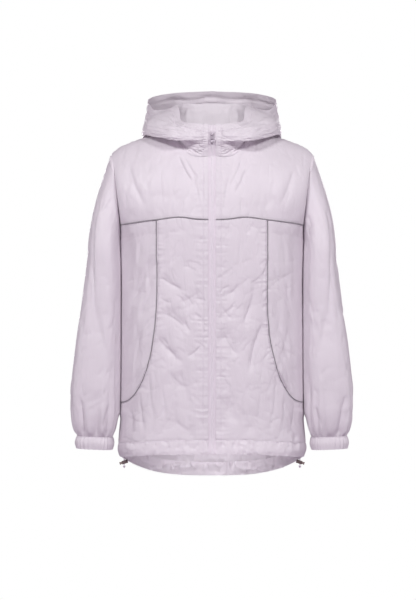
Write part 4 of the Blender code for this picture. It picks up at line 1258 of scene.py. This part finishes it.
def yoke_relief(panel, side):
    zip_gap, arm_gap = zip_side(panel, side)
    x, z = panel.x, panel.z
    broad = YOKE_GAIN * front_folds(panel)
    broad = broad * ease(panel.from_bottom / YOKE_SEAM_FADE) * ease(zip_gap / ZIP_FADE)
    broad = broad + zip_edge_relief(zip_gap, z, SIDE_SEED[side]) * ease(panel.from_bottom / YOKE_ZIP_FADE)
    broad += pucker("yoke_neck", panel.from_top, x)
    broad += pucker("yoke_seam", panel.from_bottom, x)
    dips = seam_dip(arm_gap, "armhole") + seam_dip(panel.from_bottom, "yoke_seam") + seam_dip(panel.from_top)
    return broad + dips


def front_relief(panel, side):
    zip_gap, seam_gap = zip_side(panel, side)
    x, z = panel.x, panel.z
    seed = SIDE_SEED[side]
    broad = front_folds(panel) * ease(zip_gap / ZIP_FADE)
    broad = broad + zip_edge_relief(zip_gap, z, seed)
    broad += pucker("front_seam", seam_gap, z, seed)
    broad += pucker("front_foot", panel.from_bottom, x)
    broad += pucker("front_top", panel.from_top, x)
    return broad + seam_dip(seam_gap) + seam_dip(panel.from_top) + seam_dip(panel.from_bottom)


def side_relief(panel, side):
    seam_gap, arm_gap = zip_side(panel, side)
    x, z = panel.x, panel.z
    seed = SIDE_SEED[side]
    broad = front_folds(panel)
    broad += pucker("side_seam", seam_gap, z, seed)
    broad += pucker("side_top", panel.from_top, x)
    inside = ease(seam_gap / SIDE_SEAM_FADE) * ease(arm_gap / SIDE_ARM_FADE)
    inside = inside * ease(panel.from_top / SIDE_TOP_FADE)
    broad += inside * layers(SIDE_STREAKS, x, z, seed)
    return broad + seam_dip(seam_gap) + seam_dip(panel.from_top) + seam_dip(arm_gap, "armhole")


def hem_relief(panel, body_folds):
    """The hem tunnel, gathered a little by its cord."""
    x = panel.x
    swell = HEM_SWELL * np.sin(math.pi * np.clip(panel.from_top / HEM_HEIGHT, 0, 1))
    broad = body_folds(panel) + swell
    broad += pucker("hem_top", panel.from_top, x)
    broad += pucker("hem_bottom", panel.from_bottom, x)
    return broad + seam_dip(panel.from_top)


def back_relief(panel):
    broad = BACK_GAIN * back_folds(panel) * ease(panel.from_top / BACK_TOP_FADE)
    broad += pucker("back_foot", panel.from_bottom, panel.x)
    edges = np.minimum(panel.from_first, panel.from_last)
    dips = seam_dip(edges, "back_side") + seam_dip(panel.from_top, "back_top") + seam_dip(panel.from_bottom)
    return broad + dips


def gather_wave(turn, seed, count):
    """Uneven gathers round a tube, between -1 and 1, with sharp hollows."""
    phase = np.random.default_rng(seed).uniform(0, 2 * math.pi, 3)
    wander = sum(far * np.sin(waves * turn + start) for (far, waves), start in zip(GATHER_WANDER, phase))
    middle, change = GATHER_STRENGTH
    strength = middle + change * np.sin(GATHER_STRENGTH_WAVES * turn + phase[-1])
    return strength * (2 * np.abs(np.cos((count * turn + wander) / 2)) - 1)


def tube_turns(panel, side):
    """The turn round a sleeve or cuff, from its outer side over the front."""
    turn = turns(SLEEVE_CELLS)
    turn = turn if side == "left" else turn[::-1]
    return np.broadcast_to(turn, panel.points.shape[:2])


def faded(distance, reach_in, least):
    """A share that grows from its least at an edge to 1 inside."""
    return least + (1 - least) * ease(distance / reach_in)


def cuff_gathers(distance, turn, seed):
    """The gathers above a cuff, which take up the cuff's own ribs at its edge."""
    first, second = GATHER_UNEVEN_WAVES
    uneven = np.sin(first * turn + GATHER_UNEVEN_START) * np.cos(second * turn)
    length = GATHER_REACH * (1 + GATHER_UNEVEN * uneven)
    start = ease(distance / GATHER_START)
    rise = start * np.exp(-((distance / length) ** 2))
    ribs = CUFF_DEPTH * CUFF_EDGE_SHARE * (1 - start) * gather_wave(turn, seed, CUFF_RIBS)
    return GATHER_DEPTH * rise * gather_wave(turn, seed, GATHERS) + ribs


def sleeve_relief(panel, side):
    turn = tube_turns(panel, side)
    z = panel.z
    around = 2 * math.pi * SLEEVE_RADIUS
    u = SLEEVE_RADIUS * (turn - QUARTER)
    seed = SLEEVE_SEED[side]
    blend = ease(turn / SLEEVE_MEETING_TURN) * ease((2 * math.pi - turn) / SLEEVE_MEETING_TURN)
    table = SLEEVE_FOLDS + scattered(SLEEVE_SCATTER, seed)
    broad = SLEEVE_GAIN * folds(table, u, z, around) + SLEEVE_CRINKLE * crinkle(u, z, seed) * blend
    broad *= ease(panel.from_top / SLEEVE_TOP_FADE)
    broad *= faded(panel.from_bottom, SLEEVE_END_FADE, SLEEVE_END_SHARE)
    broad += cuff_gathers(panel.from_bottom, turn, seed)
    broad += pucker("armhole", panel.from_top, u, seed)
    contact = np.exp(-(((turn - math.pi) / PRESS_TURN) ** 4))
    broad = (1 - contact) * broad + contact * pressed(z)
    return broad + seam_dip(panel.from_top, "sleeve_top") + seam_dip(panel.from_bottom, "sleeve_end")


def cuff_relief(panel, side):
    turn = tube_turns(panel, side)
    seed = SLEEVE_SEED[side]
    share = panel.from_top / panel.from_top[-1:]
    arch = np.sin(math.pi * share)
    ribs = CUFF_DEPTH * gather_wave(turn, seed, CUFF_RIBS) * (CUFF_EDGE_SHARE + (1 - CUFF_EDGE_SHARE) * arch)
    fine = CUFF_FINE * patches(turn / CUFF_FINE_TURN, share * CUFF_FINE_ROWS, seed + CUFF_FINE_SEED)
    return CUFF_SWELL * arch + ribs + fine * arch + seam_dip(panel.from_top, "cuff_top")


def rim_groove(panel, places, whole, seed):
    """The wavy crease inside the back of the rim, along its stitching."""
    line = RIM_STITCH + RIM_WANDER * ripples(whole / RIM_WANDER_RUN, seed)
    strength = wavering(RIM_GROOVE_STRENGTH, whole / RIM_GROOVE_STRENGTH_RUN, seed + 1)
    strength = strength * ease((places - RIM_GROOVE_START) / RIM_GROOVE_FADE)
    return RIM_GROOVE * strength * np.exp(-(((panel.from_bottom - line) / RIM_GROOVE_WIDTH) ** 2))


def roll_hollow(places, share):
    """The hollow under the front of the roll."""
    along = np.exp(-(((places - ROLL_HOLLOW_PLACE) / ROLL_HOLLOW_HALF) ** 4))
    return -ROLL_HOLLOW * along * np.exp(-(((share - ROLL_HOLLOW_RISE) / ROLL_HOLLOW_HEIGHT) ** 2))


def hood_relief(panel, places, across, seed):
    """Folds and crinkles of the hood, still at the neck seam; across runs from one zip edge to the other."""
    shape = panel.points.shape[:2]
    u = HOOD_GIRTH * np.broadcast_to(places, shape)
    whole = HOOD_GIRTH * np.broadcast_to(across, shape)
    v = HOOD_HEIGHT * np.broadcast_to(np.linspace(0, 1, shape[0])[:, None], shape)
    table = HOOD_FOLDS + scattered(HOOD_SCATTER, seed)
    broad = folds(table, u, v) + HOOD_CRINKLE * crinkle(v, whole, seed, HOOD_PUFF)
    broad = broad * ease(panel.from_top / NECK_FADE) * faded(panel.from_bottom, RIM_FADE, RIM_SHARE)
    broad += pucker("rim", np.abs(panel.from_bottom - RIM_STITCH), whole, seed)
    broad += rim_groove(panel, u / HOOD_GIRTH, whole, seed + RIM_SEED)
    broad += roll_hollow(u / HOOD_GIRTH, v / HOOD_HEIGHT)
    return broad + seam_dip(panel.from_top, "neck")


def hood_centre_relief(panel):
    places = hood_places()[hood_seam_column() :]
    along = np.concatenate([places, places[-2::-1]])
    across = np.concatenate([places, 2 - places[-2::-1]])
    return hood_relief(panel, along, across, HOOD_SEED)


def hood_side_relief(panel, side):
    places = hood_places()[: hood_seam_column() + 1]
    zip_gap, _ = zip_side(panel, side)
    along = places if side == "left" else places[::-1]
    across = places if side == "left" else 2 - places[::-1]
    turned = zip_edge_relief(zip_gap, panel.z, SIDE_SEED[side])
    return hood_relief(panel, along, across, HOOD_SEED) * ease(zip_gap / ZIP_FADE) + turned


MIDDLE_RELIEFS = {
    "back_panel": back_relief,
    "hem_back": lambda panel: hem_relief(panel, back_folds),
    "hood_centre": hood_centre_relief,
}
SIDE_RELIEFS = {
    "front_yoke": yoke_relief,
    "front_panel": front_relief,
    "side_panel": side_relief,
    "hem_front": lambda panel, side: hem_relief(panel, front_folds),
    "sleeve": sleeve_relief,
    "cuff": cuff_relief,
    "hood_side": hood_side_relief,
}


def relief(name, panel):
    """How far out each point of a piece stands from its plain form."""
    if name in MIDDLE_RELIEFS:
        return MIDDLE_RELIEFS[name](panel)
    kind, side = name.rsplit("_", 1)
    return SIDE_RELIEFS[kind](panel, side)


def placed(name, data):
    """A new object in the scene."""
    made = bpy.data.objects.new(name, data)
    bpy.context.scene.collection.objects.link(made)
    return made


def mesh_from(name, points, quads, border=None):
    """A smooth-shaded object from points and four-sided faces; border numbers the rims that stay crisp."""
    mesh = bpy.data.meshes.new(name)
    mesh.vertices.add(len(points))
    mesh.vertices.foreach_set("co", np.ascontiguousarray(points, dtype=np.float32).ravel())
    mesh.loops.add(quads.size)
    mesh.loops.foreach_set("vertex_index", np.ascontiguousarray(quads, dtype=np.int32).ravel())
    mesh.polygons.add(len(quads))
    mesh.polygons.foreach_set("loop_start", np.arange(0, quads.size, 4, dtype=np.int32))
    mesh.polygons.foreach_set("use_smooth", np.ones(len(quads), dtype=bool))
    mesh.update(calc_edges=True)
    if border is not None:
        ends = np.empty(2 * len(mesh.edges), dtype=np.int32)
        mesh.edges.foreach_get("vertices", ends)
        rims = border[ends.reshape(-1, 2)]
        mesh.edges.foreach_set("use_edge_sharp", (rims[:, 0] > 0) & (rims[:, 0] == rims[:, 1]))
    mesh.validate()
    return placed(name, mesh)


def grid_quads(numbers):
    """Faces of a grid of point numbers."""
    corners = [numbers[:-1, :-1], numbers[:-1, 1:], numbers[1:, 1:], numbers[1:, :-1]]
    return np.stack(corners, axis=-1).reshape(-1, 4)


def shell_quads(rows, cells, closed):
    """Faces of a closed shell between an outer and an inner grid."""
    outer = np.arange(rows * cells).reshape(rows, cells)
    if closed:
        outer = np.concatenate([outer, outer[:, :1]], axis=1)
    inner = outer + rows * cells
    faces = [grid_quads(outer)[:, ::-1], grid_quads(inner)]
    edges = [(outer[0], inner[0]), (inner[-1], outer[-1])]
    if not closed:
        edges += [(inner[:, 0], outer[:, 0]), (outer[:, -1], inner[:, -1])]
    for line_a, line_b in edges:
        faces.append(np.stack([line_a[:-1], line_a[1:], line_b[1:], line_b[:-1]], axis=-1))
    return np.concatenate(faces)


def both_faces(outer, inner):
    """The points of a shell's outer grid and then its inner grid."""
    return np.concatenate([outer.reshape(-1, 3), inner.reshape(-1, 3)])


def shell_border(rows, cells, closed):
    """1 on the rim of a shell's outer grid, 2 on the rim of its inner grid, and 0 elsewhere."""
    rim = np.zeros((rows, cells), dtype=int)
    rim[[0, -1]] = 1
    if not closed:
        rim[:, [0, -1]] = 1
    return np.concatenate([rim.ravel(), 2 * rim.ravel()])


def faces_out(outer, normals, quads):
    """The faces, turned so that the outer ones face along the normals."""
    middle = len(quads) // 4
    a, b, c = (outer.reshape(-1, 3)[quads[middle][corner]] for corner in range(3))
    if np.dot(np.cross(b - a, c - a), normals.reshape(-1, 3)[quads[middle][0]]) < 0:
        return quads[:, ::-1]
    return quads


def drawn_back(points, closed):
    """The grid with its edges drawn back by half a seam gap."""
    back = points.copy()
    back[0] += unit(points[1] - points[0]) * SEAM_GAP / 2
    back[-1] += unit(points[-2] - points[-1]) * SEAM_GAP / 2
    if not closed:
        back[:, 0] += unit(points[:, 1] - points[:, 0]) * SEAM_GAP / 2
        back[:, -1] += unit(points[:, -2] - points[:, -1]) * SEAM_GAP / 2
    return back


def build_cloth(panels, look):
    """Every cloth piece as a thin folded shell on its solid's form."""
    for name, panel in panels.items():
        panel.cloth = panel.points + panel.normals * relief(name, panel)[..., None]
        panel.ways = grid_normals(panel.cloth, panel.closed)
        if (panel.ways * panel.normals).sum() < 0:
            panel.ways = -panel.ways
        outer = drawn_back(panel.cloth, panel.closed)
        inner = drawn_back(panel.cloth - panel.normals * panel.wall, panel.closed)
        quads = shell_quads(*outer.shape[:2], panel.closed)
        quads = faces_out(outer, panel.normals, quads)
        border = shell_border(*outer.shape[:2], panel.closed)
        made = mesh_from("cloth_" + name, both_faces(outer, inner), quads, border)
        made.data.materials.append(look)
        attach(made, "jacket")
        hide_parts(name)


def end_cap(ring, middle):
    """Faces from a closed ring of an even count to its middle point, two ring edges in each."""
    return np.stack([ring[0:-2:2], ring[1:-1:2], ring[2::2], np.full(len(ring) // 2, middle)], axis=-1)


def tube_mesh(name, line, radius):
    """A closed round tube along a line."""
    along = unit(np.gradient(line, axis=0))
    across = unit(np.cross(along, TUBE_SIDEWAYS))
    up = np.cross(along, across)
    turn = turns(TUBE_SIDES)
    ring = np.cos(turn)[None, :, None] * across[:, None] + np.sin(turn)[None, :, None] * up[:, None]
    points = line[:, None] + radius * ring
    numbers = np.arange(points.shape[0] * TUBE_SIDES).reshape(-1, TUBE_SIDES)
    numbers = np.concatenate([numbers, numbers[:, :1]], axis=1)
    points = np.concatenate([points.reshape(-1, 3), line[:1], line[-1:]])
    start, end = len(points) - 2, len(points) - 1
    quads = [grid_quads(numbers)[:, ::-1], end_cap(numbers[0], start), end_cap(numbers[-1][::-1], end)]
    return mesh_from(name, points, np.concatenate(quads))


def dressed(made, look, node, body_name="jacket"):
    """Gives a piece its material and its place in the frame."""
    made.data.materials.clear()
    made.data.materials.append(look)
    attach(made, body_name)
    if node:
        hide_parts(node)
    return made


def trimmed(line, start, end):
    """The line without these lengths at its start and end."""
    run = run_along(line)
    return at_run(np.linspace(start, run[-1] - end, len(line)), run, line)


def build_piping(panels, look):
    for side in SIDES:
        piece = panels["front_yoke_" + side]
        line = piece.cloth[0] + piece.normals[0] * (PIPING_RADIUS + PIPING_LIFT)
        ends = (0.0, PIPING_END) if side == "left" else (PIPING_END, 0.0)
        made = tube_mesh("trim_yoke_" + side, trimmed(line, *ends), PIPING_RADIUS)
        dressed(made, look, "piping_yoke_" + side)
        piece = panels["side_panel_" + side]
        edge = 0 if side == "left" else -1
        line = piece.cloth[:, edge] + piece.normals[:, edge] * (CURVED_PIPING_RADIUS + PIPING_LIFT)
        line = trimmed(line, 2 * PIPING_RADIUS, PIPING_END)
        made = tube_mesh("trim_side_" + side, line, CURVED_PIPING_RADIUS)
        dressed(made, look, "piping_side_" + side)


def zip_course(panels):
    """Even points up the wearer's-left zip edge, the length along it and the way out at each."""
    points = []
    for name in ("hem_front_left", "front_panel_left", "front_yoke_left", "hood_side_left"):
        edge = panels[name].points[:, 0]
        edge = edge if edge[-1, 2] > edge[0, 2] else edge[::-1]
        points.extend(edge if not points else edge[1:])
    points = np.array(points)
    run = run_along(points)
    at = np.arange(0, run[-1] - ZIP_TOP_MARGIN, TOOTH_PITCH / TOOTH_CELLS)
    even = at_run(at, run, points)
    along = unit(np.gradient(even, axis=0) * (0, 1, 1))
    ways = np.stack([np.zeros(len(along)), -along[:, 2], along[:, 1]], axis=-1)
    return even, at, ways


def strip(points, ways, xs, depth):
    """A grid along the zip: one column per x, this deep below the cloth's face."""
    depth = np.broadcast_to(depth, (len(points), len(xs)))
    grid = points[:, None] - ways[:, None] * depth[..., None]
    grid[..., 0] = xs
    return grid


def strip_mesh(name, points, ways, xs, depth, wall):
    outer = strip(points, ways, xs, depth)
    inner = strip(points, ways, xs, depth + wall)
    quads = shell_quads(*outer.shape[:2], False)
    quads = faces_out(outer, np.broadcast_to(ways[:, None], outer.shape), quads)
    return mesh_from(name, both_faces(outer, inner), quads)


def build_zip(panels, looks):
    points, run, ways = zip_course(panels)
    coarse = slice(None, None, TOOTH_CELLS)
    for side, sign in SIDES.items():
        xs = sign * np.linspace(TAPE_INNER_X, TAPE_OUTER_X, TAPE_POINTS)
        depth = np.full((1, TAPE_POINTS), TAPE_DEPTH)
        made = strip_mesh("tape_" + side, points[coarse], ways[coarse], xs, depth, TAPE_WALL)
        dressed(made, looks["tape"], "zip_tape_" + side)
    build_coil(points, run, ways, looks["coil"])


def build_coil(points, run, ways, look):
    """The closed chain: a dome with a groove down its middle and teeth that alternate on its two sides."""
    xs = np.linspace(-CHAIN_HALF, CHAIN_HALF, CHAIN_POINTS)
    share = np.abs(xs) / CHAIN_HALF
    dome = CHAIN_HEIGHT * np.sqrt(np.clip(1 - share**CHAIN_POWER, 0, 1))
    dome = dome - MIDDLE_GROOVE * np.exp(-((share / MIDDLE_GROOVE_SHARE) ** 2))
    turn = 2 * math.pi * run[:, None] / TOOTH_PITCH + math.pi * (xs > 0)
    teeth = TOOTH_DEPTH * np.cos(turn) * np.clip(TOOTH_END - share, 0, 1)
    made = strip_mesh("coil", points, ways, xs, CHAIN_DEPTH + CHAIN_HEIGHT - dome - teeth, CHAIN_WALL)
    dressed(made, look, "zip_chain")


def line_at(panel, side, edge, distance):
    """The line on a piece at one distance from an edge, with the way out along it."""
    near_zip, far = zip_side(panel, side)
    gaps_from = {"zip": near_zip, "far": far, "top": panel.from_top, "bottom": panel.from_bottom}
    distances = gaps_from[edge]
    grids = (panel.cloth, panel.ways)
    if edge in ("top", "bottom"):
        distances = distances.T
        grids = [grid.transpose(1, 0, 2) for grid in grids]
    lines = []
    for grid in grids:
        line = np.empty((len(distances), 3))
        for row, gaps in enumerate(distances):
            order = slice(None) if gaps[-1] > gaps[0] else slice(None, None, -1)
            for axis in range(3):
                line[row, axis] = np.interp(distance, gaps[order], grid[row, order, axis])
        lines.append(line)
    return lines[0], unit(lines[1])


def stitch_faces():
    """The faces of one stitch: its sides from ring to ring, then its two ends."""
    count = len(STITCH_RING)
    last = count * (len(STITCH_STATIONS) - 1)
    faces = []
    for ring in range(0, last, count):
        for corner in range(count):
            after = (corner + 1) % count
            faces.append((ring + corner, ring + after, ring + count + after, ring + count + corner))
    faces.append(tuple(reversed(range(count))))
    faces.append(tuple(range(last, last + count)))
    return np.array(faces)


def stitches(line, ways):
    """Points and faces of a row of stitches along a line."""
    run = run_along(line)
    middles = np.arange(STITCH_PITCH / 2, run[-1] - STITCH_PITCH / 2, STITCH_PITCH)
    stations = []
    for step, size, sink in STITCH_STATIONS:
        at = middles + step * STITCH_LENGTH
        middle = at_run(at, run, line)
        up = unit(at_run(at, run, ways))
        side = unit(np.cross(up, at_run(at + STITCH_RADIUS, run, line) - middle))
        middle = middle + up * STITCH_RADIUS * (STITCH_STAND - sink)
        ring = [middle + STITCH_RADIUS * size * (u * side + v * up) for u, v in STITCH_RING]
        stations.append(np.stack(ring, axis=1))
    points = np.stack(stations, axis=1).reshape(-1, 3)
    faces = stitch_faces()
    first = len(STITCH_STATIONS) * len(STITCH_RING) * np.arange(len(middles))[:, None, None]
    return points, (faces[None] + first).reshape(-1, 4)


def stitch_lines(panels):
    """Every stitched line on the jacket; a piece across the middle counts as a left one."""
    lines = []
    for side in SIDES:
        for kind, edge, distance in SIDE_STITCHES:
            lines.append(line_at(panels[kind + "_" + side], side, edge, distance))
    for name, edge, distance in MIDDLE_STITCHES:
        lines.append(line_at(panels[name], "left", edge, distance))
    return lines


def build_stitches(panels, look):
    points, quads, first = [], [], 0
    for line, ways in stitch_lines(panels):
        run_points, run_quads = stitches(line, ways)
        points.append(run_points)
        quads.append(run_quads + first)
        first += len(run_points)
    made = mesh_from("stitching", np.concatenate(points), np.concatenate(quads))
    return dressed(made, look, None)


def cord_line(sign):
    """The route of one cord end, out of the inside of the hem and down."""
    level = CORD_EXIT_Z - ARMPIT_Z
    around = np.array([CORD_ANGLE - CORD_ANGLE_STEP, CORD_ANGLE, CORD_ANGLE + CORD_ANGLE_STEP])
    near = body(around, level, "front")
    along = unit(near[2] - near[0])
    inward = np.array((-along[1], along[0], 0.0))
    inward = inward if inward[0] < 0 else -inward
    start = near[1] + inward * (CORD_WALL + CORD_STAND_OFF)
    return np.array([start + inward * into + (0, 0, -down) for into, down in CORD_ROUTE]) * (sign, 1, 1)


def build_cord(side, sign, look):
    line = cord_line(sign)
    curve = bpy.data.curves.new("elastic_" + side, "CURVE")
    curve.dimensions = "3D"
    curve.bevel_depth = CORD_RADIUS
    curve.bevel_resolution = CORD_ROUND_STEPS
    curve.use_fill_caps = True
    spline = curve.splines.new("POLY")
    spline.points.add(len(line) - 1)
    for place, point in zip(spline.points, line):
        place.co = (*point, 1.0)
    made = placed("elastic_" + side, curve)
    dressed(made, look, "cord_" + side)
    knot = build_knot(side, line[-1], look)


def build_knot(side, cord_end, look):
    """An overhand knot, one turn over another."""
    turn = np.linspace(0, 2 * math.pi, KNOT_POINTS)
    across = np.sin(turn) + 2 * np.sin(2 * turn)
    up = np.cos(turn) - 2 * np.cos(2 * turn)
    middle = np.array(cord_end) - (0, 0, KNOT_DROP)
    line = middle + np.stack([across, -np.sin(3 * turn), up], axis=-1) * KNOT_SCALE
    made = tube_mesh("tied_end_" + side, line, KNOT_CORD)
    return dressed(made, look, "cord_knot_" + side)


def rounded_copy(node, look, body_name, edge):
    """A hard piece with its sharp edges rounded."""
    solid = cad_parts[node]
    made = placed("fine_" + node, solid.data.copy())
    made.matrix_world = solid.matrix_world.copy()
    for polygon in made.data.polygons:
        polygon.use_smooth = True
    weld = made.modifiers.new("weld", "WELD")
    weld.merge_threshold = WELD_DISTANCE
    bevel = made.modifiers.new("rounding", "BEVEL")
    bevel.width = edge
    bevel.segments = EDGE_STEPS
    bevel.limit_method = "ANGLE"
    bevel.angle_limit = EDGE_ANGLE
    bevel.harden_normals = True
    return dressed(made, look, node, body_name)


def build_hardware(looks):
    rounded_copy("zip_slider", looks["painted"], "jacket", SLIDER_EDGE)
    rounded_copy("zip_pull", looks["metal"], "pull_tab", PULL_EDGE)
    for side in SIDES:
        rounded_copy("cord_lock_" + side, looks["lock"], "jacket", LOCK_EDGE)
        rounded_copy("cord_button_" + side, looks["button"], "button_" + side, LOCK_EDGE)


def set_inputs(node, values):
    """Sets a shader node's inputs by name."""
    for name, value in values.items():
        node.inputs[name].default_value = value


class Look:
    """A procedural material, with a colour that varies a little and a bumpy face."""

    def __init__(self, name, colour, roughness, metallic=0.0, sheen=0.0):
        self.material = bpy.data.materials.new(name)
        self.material.use_nodes = True
        self.nodes = self.material.node_tree.nodes
        self.links = self.material.node_tree.links
        self.shader = self.nodes["Principled BSDF"]
        set_inputs(self.shader, {"Roughness": roughness, "Metallic": metallic})
        set_inputs(self.shader, {"Sheen Weight": sheen, "Sheen Roughness": SHEEN_ROUGHNESS})
        self.colour = colour
        self.place = self.nodes.new("ShaderNodeTexCoord").outputs["Object"]
        self.height = None

    def scaled(self, scale):
        """The place in the object, stretched."""
        mapping = self.nodes.new("ShaderNodeMapping")
        set_inputs(mapping, {"Scale": scale})
        self.links.new(self.place, mapping.inputs["Vector"])
        return mapping.outputs["Vector"]

    def noise(self, scale, detail=3.0):
        texture = self.nodes.new("ShaderNodeTexNoise")
        set_inputs(texture, {"Scale": 1.0, "Detail": detail})
        self.links.new(self.scaled(scale), texture.inputs["Vector"])
        return texture.outputs["Fac"]

    def wave(self, scale, direction, distortion=0.0):
        texture = self.nodes.new("ShaderNodeTexWave")
        texture.bands_direction = direction
        set_inputs(texture, {"Scale": scale, "Distortion": distortion})
        self.links.new(self.place, texture.inputs["Vector"])
        return texture.outputs["Fac"]

    def vary(self, factor, spread):
        """A colour between a little darker and a little lighter."""
        ramp = self.nodes.new("ShaderNodeValToRGB")
        darker, lighter = ramp.color_ramp.elements
        darker.position = RAMP_START
        lighter.position = RAMP_END
        darker.color = (*(channel * (1 - spread) for channel in self.colour), 1.0)
        lighter.color = (*(min(1.0, channel * (1 + spread)) for channel in self.colour), 1.0)
        self.links.new(factor, ramp.inputs["Fac"])
        self.links.new(ramp.outputs["Color"], self.shader.inputs["Base Color"])

    def bump(self, factor, strength, distance):
        """One more layer of bumps on the face."""
        bump = self.nodes.new("ShaderNodeBump")
        set_inputs(bump, {"Strength": strength, "Distance": distance})
        self.links.new(factor, bump.inputs["Height"])
        if self.height:
            self.links.new(self.height, bump.inputs["Normal"])
        self.height = bump.outputs["Normal"]
        self.links.new(self.height, self.shader.inputs["Normal"])


def nylon():
    look = Look("lilac nylon", NYLON_COLOUR, roughness=0.50, sheen=0.03)
    look.vary(look.noise((30.0, 30.0, 12.0)), spread=0.02)
    look.bump(look.noise((150.0, 150.0, 26.0), detail=4.0), strength=0.55, distance=0.0014)
    look.bump(look.noise((420.0, 420.0, 240.0)), strength=0.42, distance=0.0006)
    look.bump(look.wave(900.0, "DIAGONAL"), strength=0.05, distance=0.0001)
    return look.material


def piping_look():
    look = Look("grey piping", PIPING_COLOUR, roughness=0.38)
    look.vary(look.noise((160.0, 160.0, 160.0)), spread=0.06)
    look.bump(look.noise((900.0, 900.0, 900.0)), strength=0.15, distance=0.0002)
    return look.material


def tape_look():
    look = Look("zip tape", TAPE_COLOUR, roughness=0.62)
    look.vary(look.noise((220.0, 220.0, 60.0)), spread=0.03)
    look.bump(look.wave(420.0, "Z"), strength=0.25, distance=0.0002)
    look.bump(look.wave(320.0, "X"), strength=0.20, distance=0.0002)
    return look.material


def coil_look():
    look = Look("zip coil", COIL_COLOUR, roughness=0.42)
    look.vary(look.noise((300.0, 300.0, 300.0)), spread=0.03)
    look.bump(look.noise((1400.0, 1400.0, 1400.0)), strength=0.08, distance=0.0001)
    return look.material


def metal_look(name, colour, roughness, metallic):
    look = Look(name, colour, roughness, metallic)
    look.vary(look.noise((260.0, 260.0, 260.0)), spread=0.05)
    look.bump(look.noise((2400.0, 2400.0, 600.0)), strength=0.06, distance=0.0001)
    return look.material


def cord_look():
    look = Look("braided cord", CORD_COLOUR, roughness=0.72, sheen=0.2)
    look.vary(look.noise((420.0, 420.0, 420.0)), spread=0.05)
    look.bump(look.wave(520.0, "DIAGONAL", distortion=1.2), strength=0.40, distance=0.0002)
    return look.material


def plastic_look(name, colour):
    look = Look(name, colour, roughness=0.40)
    look.vary(look.noise((240.0, 240.0, 240.0)), spread=0.08)
    look.bump(look.noise((1500.0, 1500.0, 1500.0)), strength=0.10, distance=0.0001)
    return look.material


def thread_look():
    look = Look("thread", THREAD_COLOUR, roughness=0.60)
    look.vary(look.noise((700.0, 700.0, 700.0)), spread=0.05)
    look.bump(look.wave(1500.0, "DIAGONAL"), strength=0.20, distance=0.0001)
    return look.material


def build_camera():
    data = bpy.data.cameras.new("camera")
    data.lens = CAMERA_LENS
    data.sensor_fit = "VERTICAL"
    data.sensor_height = CAMERA_SENSOR
    data.clip_end = CAMERA_FAR
    camera = placed("camera", data)
    camera.location = CAMERA_PLACE
    camera.rotation_euler = (QUARTER, 0.0, 0.0)
    bpy.context.scene.camera = camera


def area_light(name, place, aim, width, height, spread, watts):
    data = bpy.data.lights.new(name, "AREA")
    data.shape = "RECTANGLE"
    data.size = width
    data.size_y = height
    data.spread = math.radians(spread)
    data.energy = watts
    light = placed(name, data)
    light.location = place
    light.visible_camera = False
    x, y, z = np.array(aim) - np.array(place)
    light.rotation_euler = (math.atan2(math.hypot(x, y), -z), 0.0, math.atan2(-x, y))


def seen_white(tree, dim, bright):
    """What the camera sees is white; what lights the jacket is dimmer."""
    path = tree.nodes.new("ShaderNodeLightPath")
    mix = tree.nodes.new("ShaderNodeMixShader")
    tree.links.new(path.outputs["Is Camera Ray"], mix.inputs["Fac"])
    tree.links.new(dim, mix.inputs[1])
    tree.links.new(bright, mix.inputs[2])
    return mix.outputs["Shader"]


def build_floor():
    ends = (-FLOOR_HALF, FLOOR_HALF)
    points = np.array([(x, y, FLOOR_Z) for y in ends for x in ends])
    floor = mesh_from("floor", points, np.array([[0, 1, 3, 2]]))
    made = bpy.data.materials.new("white floor")
    made.use_nodes = True
    tree = made.node_tree
    shader = tree.nodes["Principled BSDF"]
    set_inputs(shader, {"Base Color": FLOOR_COLOUR, "Roughness": FLOOR_ROUGHNESS})
    glow = tree.nodes.new("ShaderNodeEmission")
    seen = seen_white(tree, shader.outputs["BSDF"], glow.outputs["Emission"])
    tree.links.new(seen, tree.nodes["Material Output"].inputs["Surface"])
    floor.data.materials.append(made)


def build_stage():
    """A white floor in a white room, with soft lights all round."""
    build_floor()
    for row in LIGHTS:
        area_light(**dict(zip(LIGHT_COLUMNS, row)))
    world = bpy.data.worlds.new("studio")
    world.use_nodes = True
    tree = world.node_tree
    dim = tree.nodes["Background"]
    set_inputs(dim, {"Color": WORLD_COLOUR, "Strength": WORLD_LIGHT})
    bright = tree.nodes.new("ShaderNodeBackground")
    set_inputs(bright, {"Color": WHITE})
    seen = seen_white(tree, dim.outputs["Background"], bright.outputs["Background"])
    tree.links.new(seen, tree.nodes["World Output"].inputs["Surface"])
    bpy.context.scene.world = world
    bpy.context.scene.view_settings.view_transform = "Standard"


def main():
    looks = {
        "nylon": nylon(),
        "piping": piping_look(),
        "tape": tape_look(),
        "coil": coil_look(),
        "metal": metal_look("satin metal", METAL_COLOUR, roughness=0.40, metallic=0.45),
        "painted": metal_look("painted metal", PAINT_COLOUR, roughness=0.45, metallic=0.0),
        "cord": cord_look(),
        "lock": plastic_look("brown plastic", LOCK_COLOUR),
        "button": plastic_look("light brown plastic", BUTTON_COLOUR),
        "thread": thread_look(),
    }
    build_camera()
    for side, sign in SIDES.items():
        build_cord(side, sign, looks["cord"])
    panels = cut_panels()
    build_cloth(panels, looks["nylon"])
    build_piping(panels, looks["piping"])
    build_zip(panels, looks)
    build_stitches(panels, looks["thread"])
    build_hardware(looks)
    build_stage()


main()
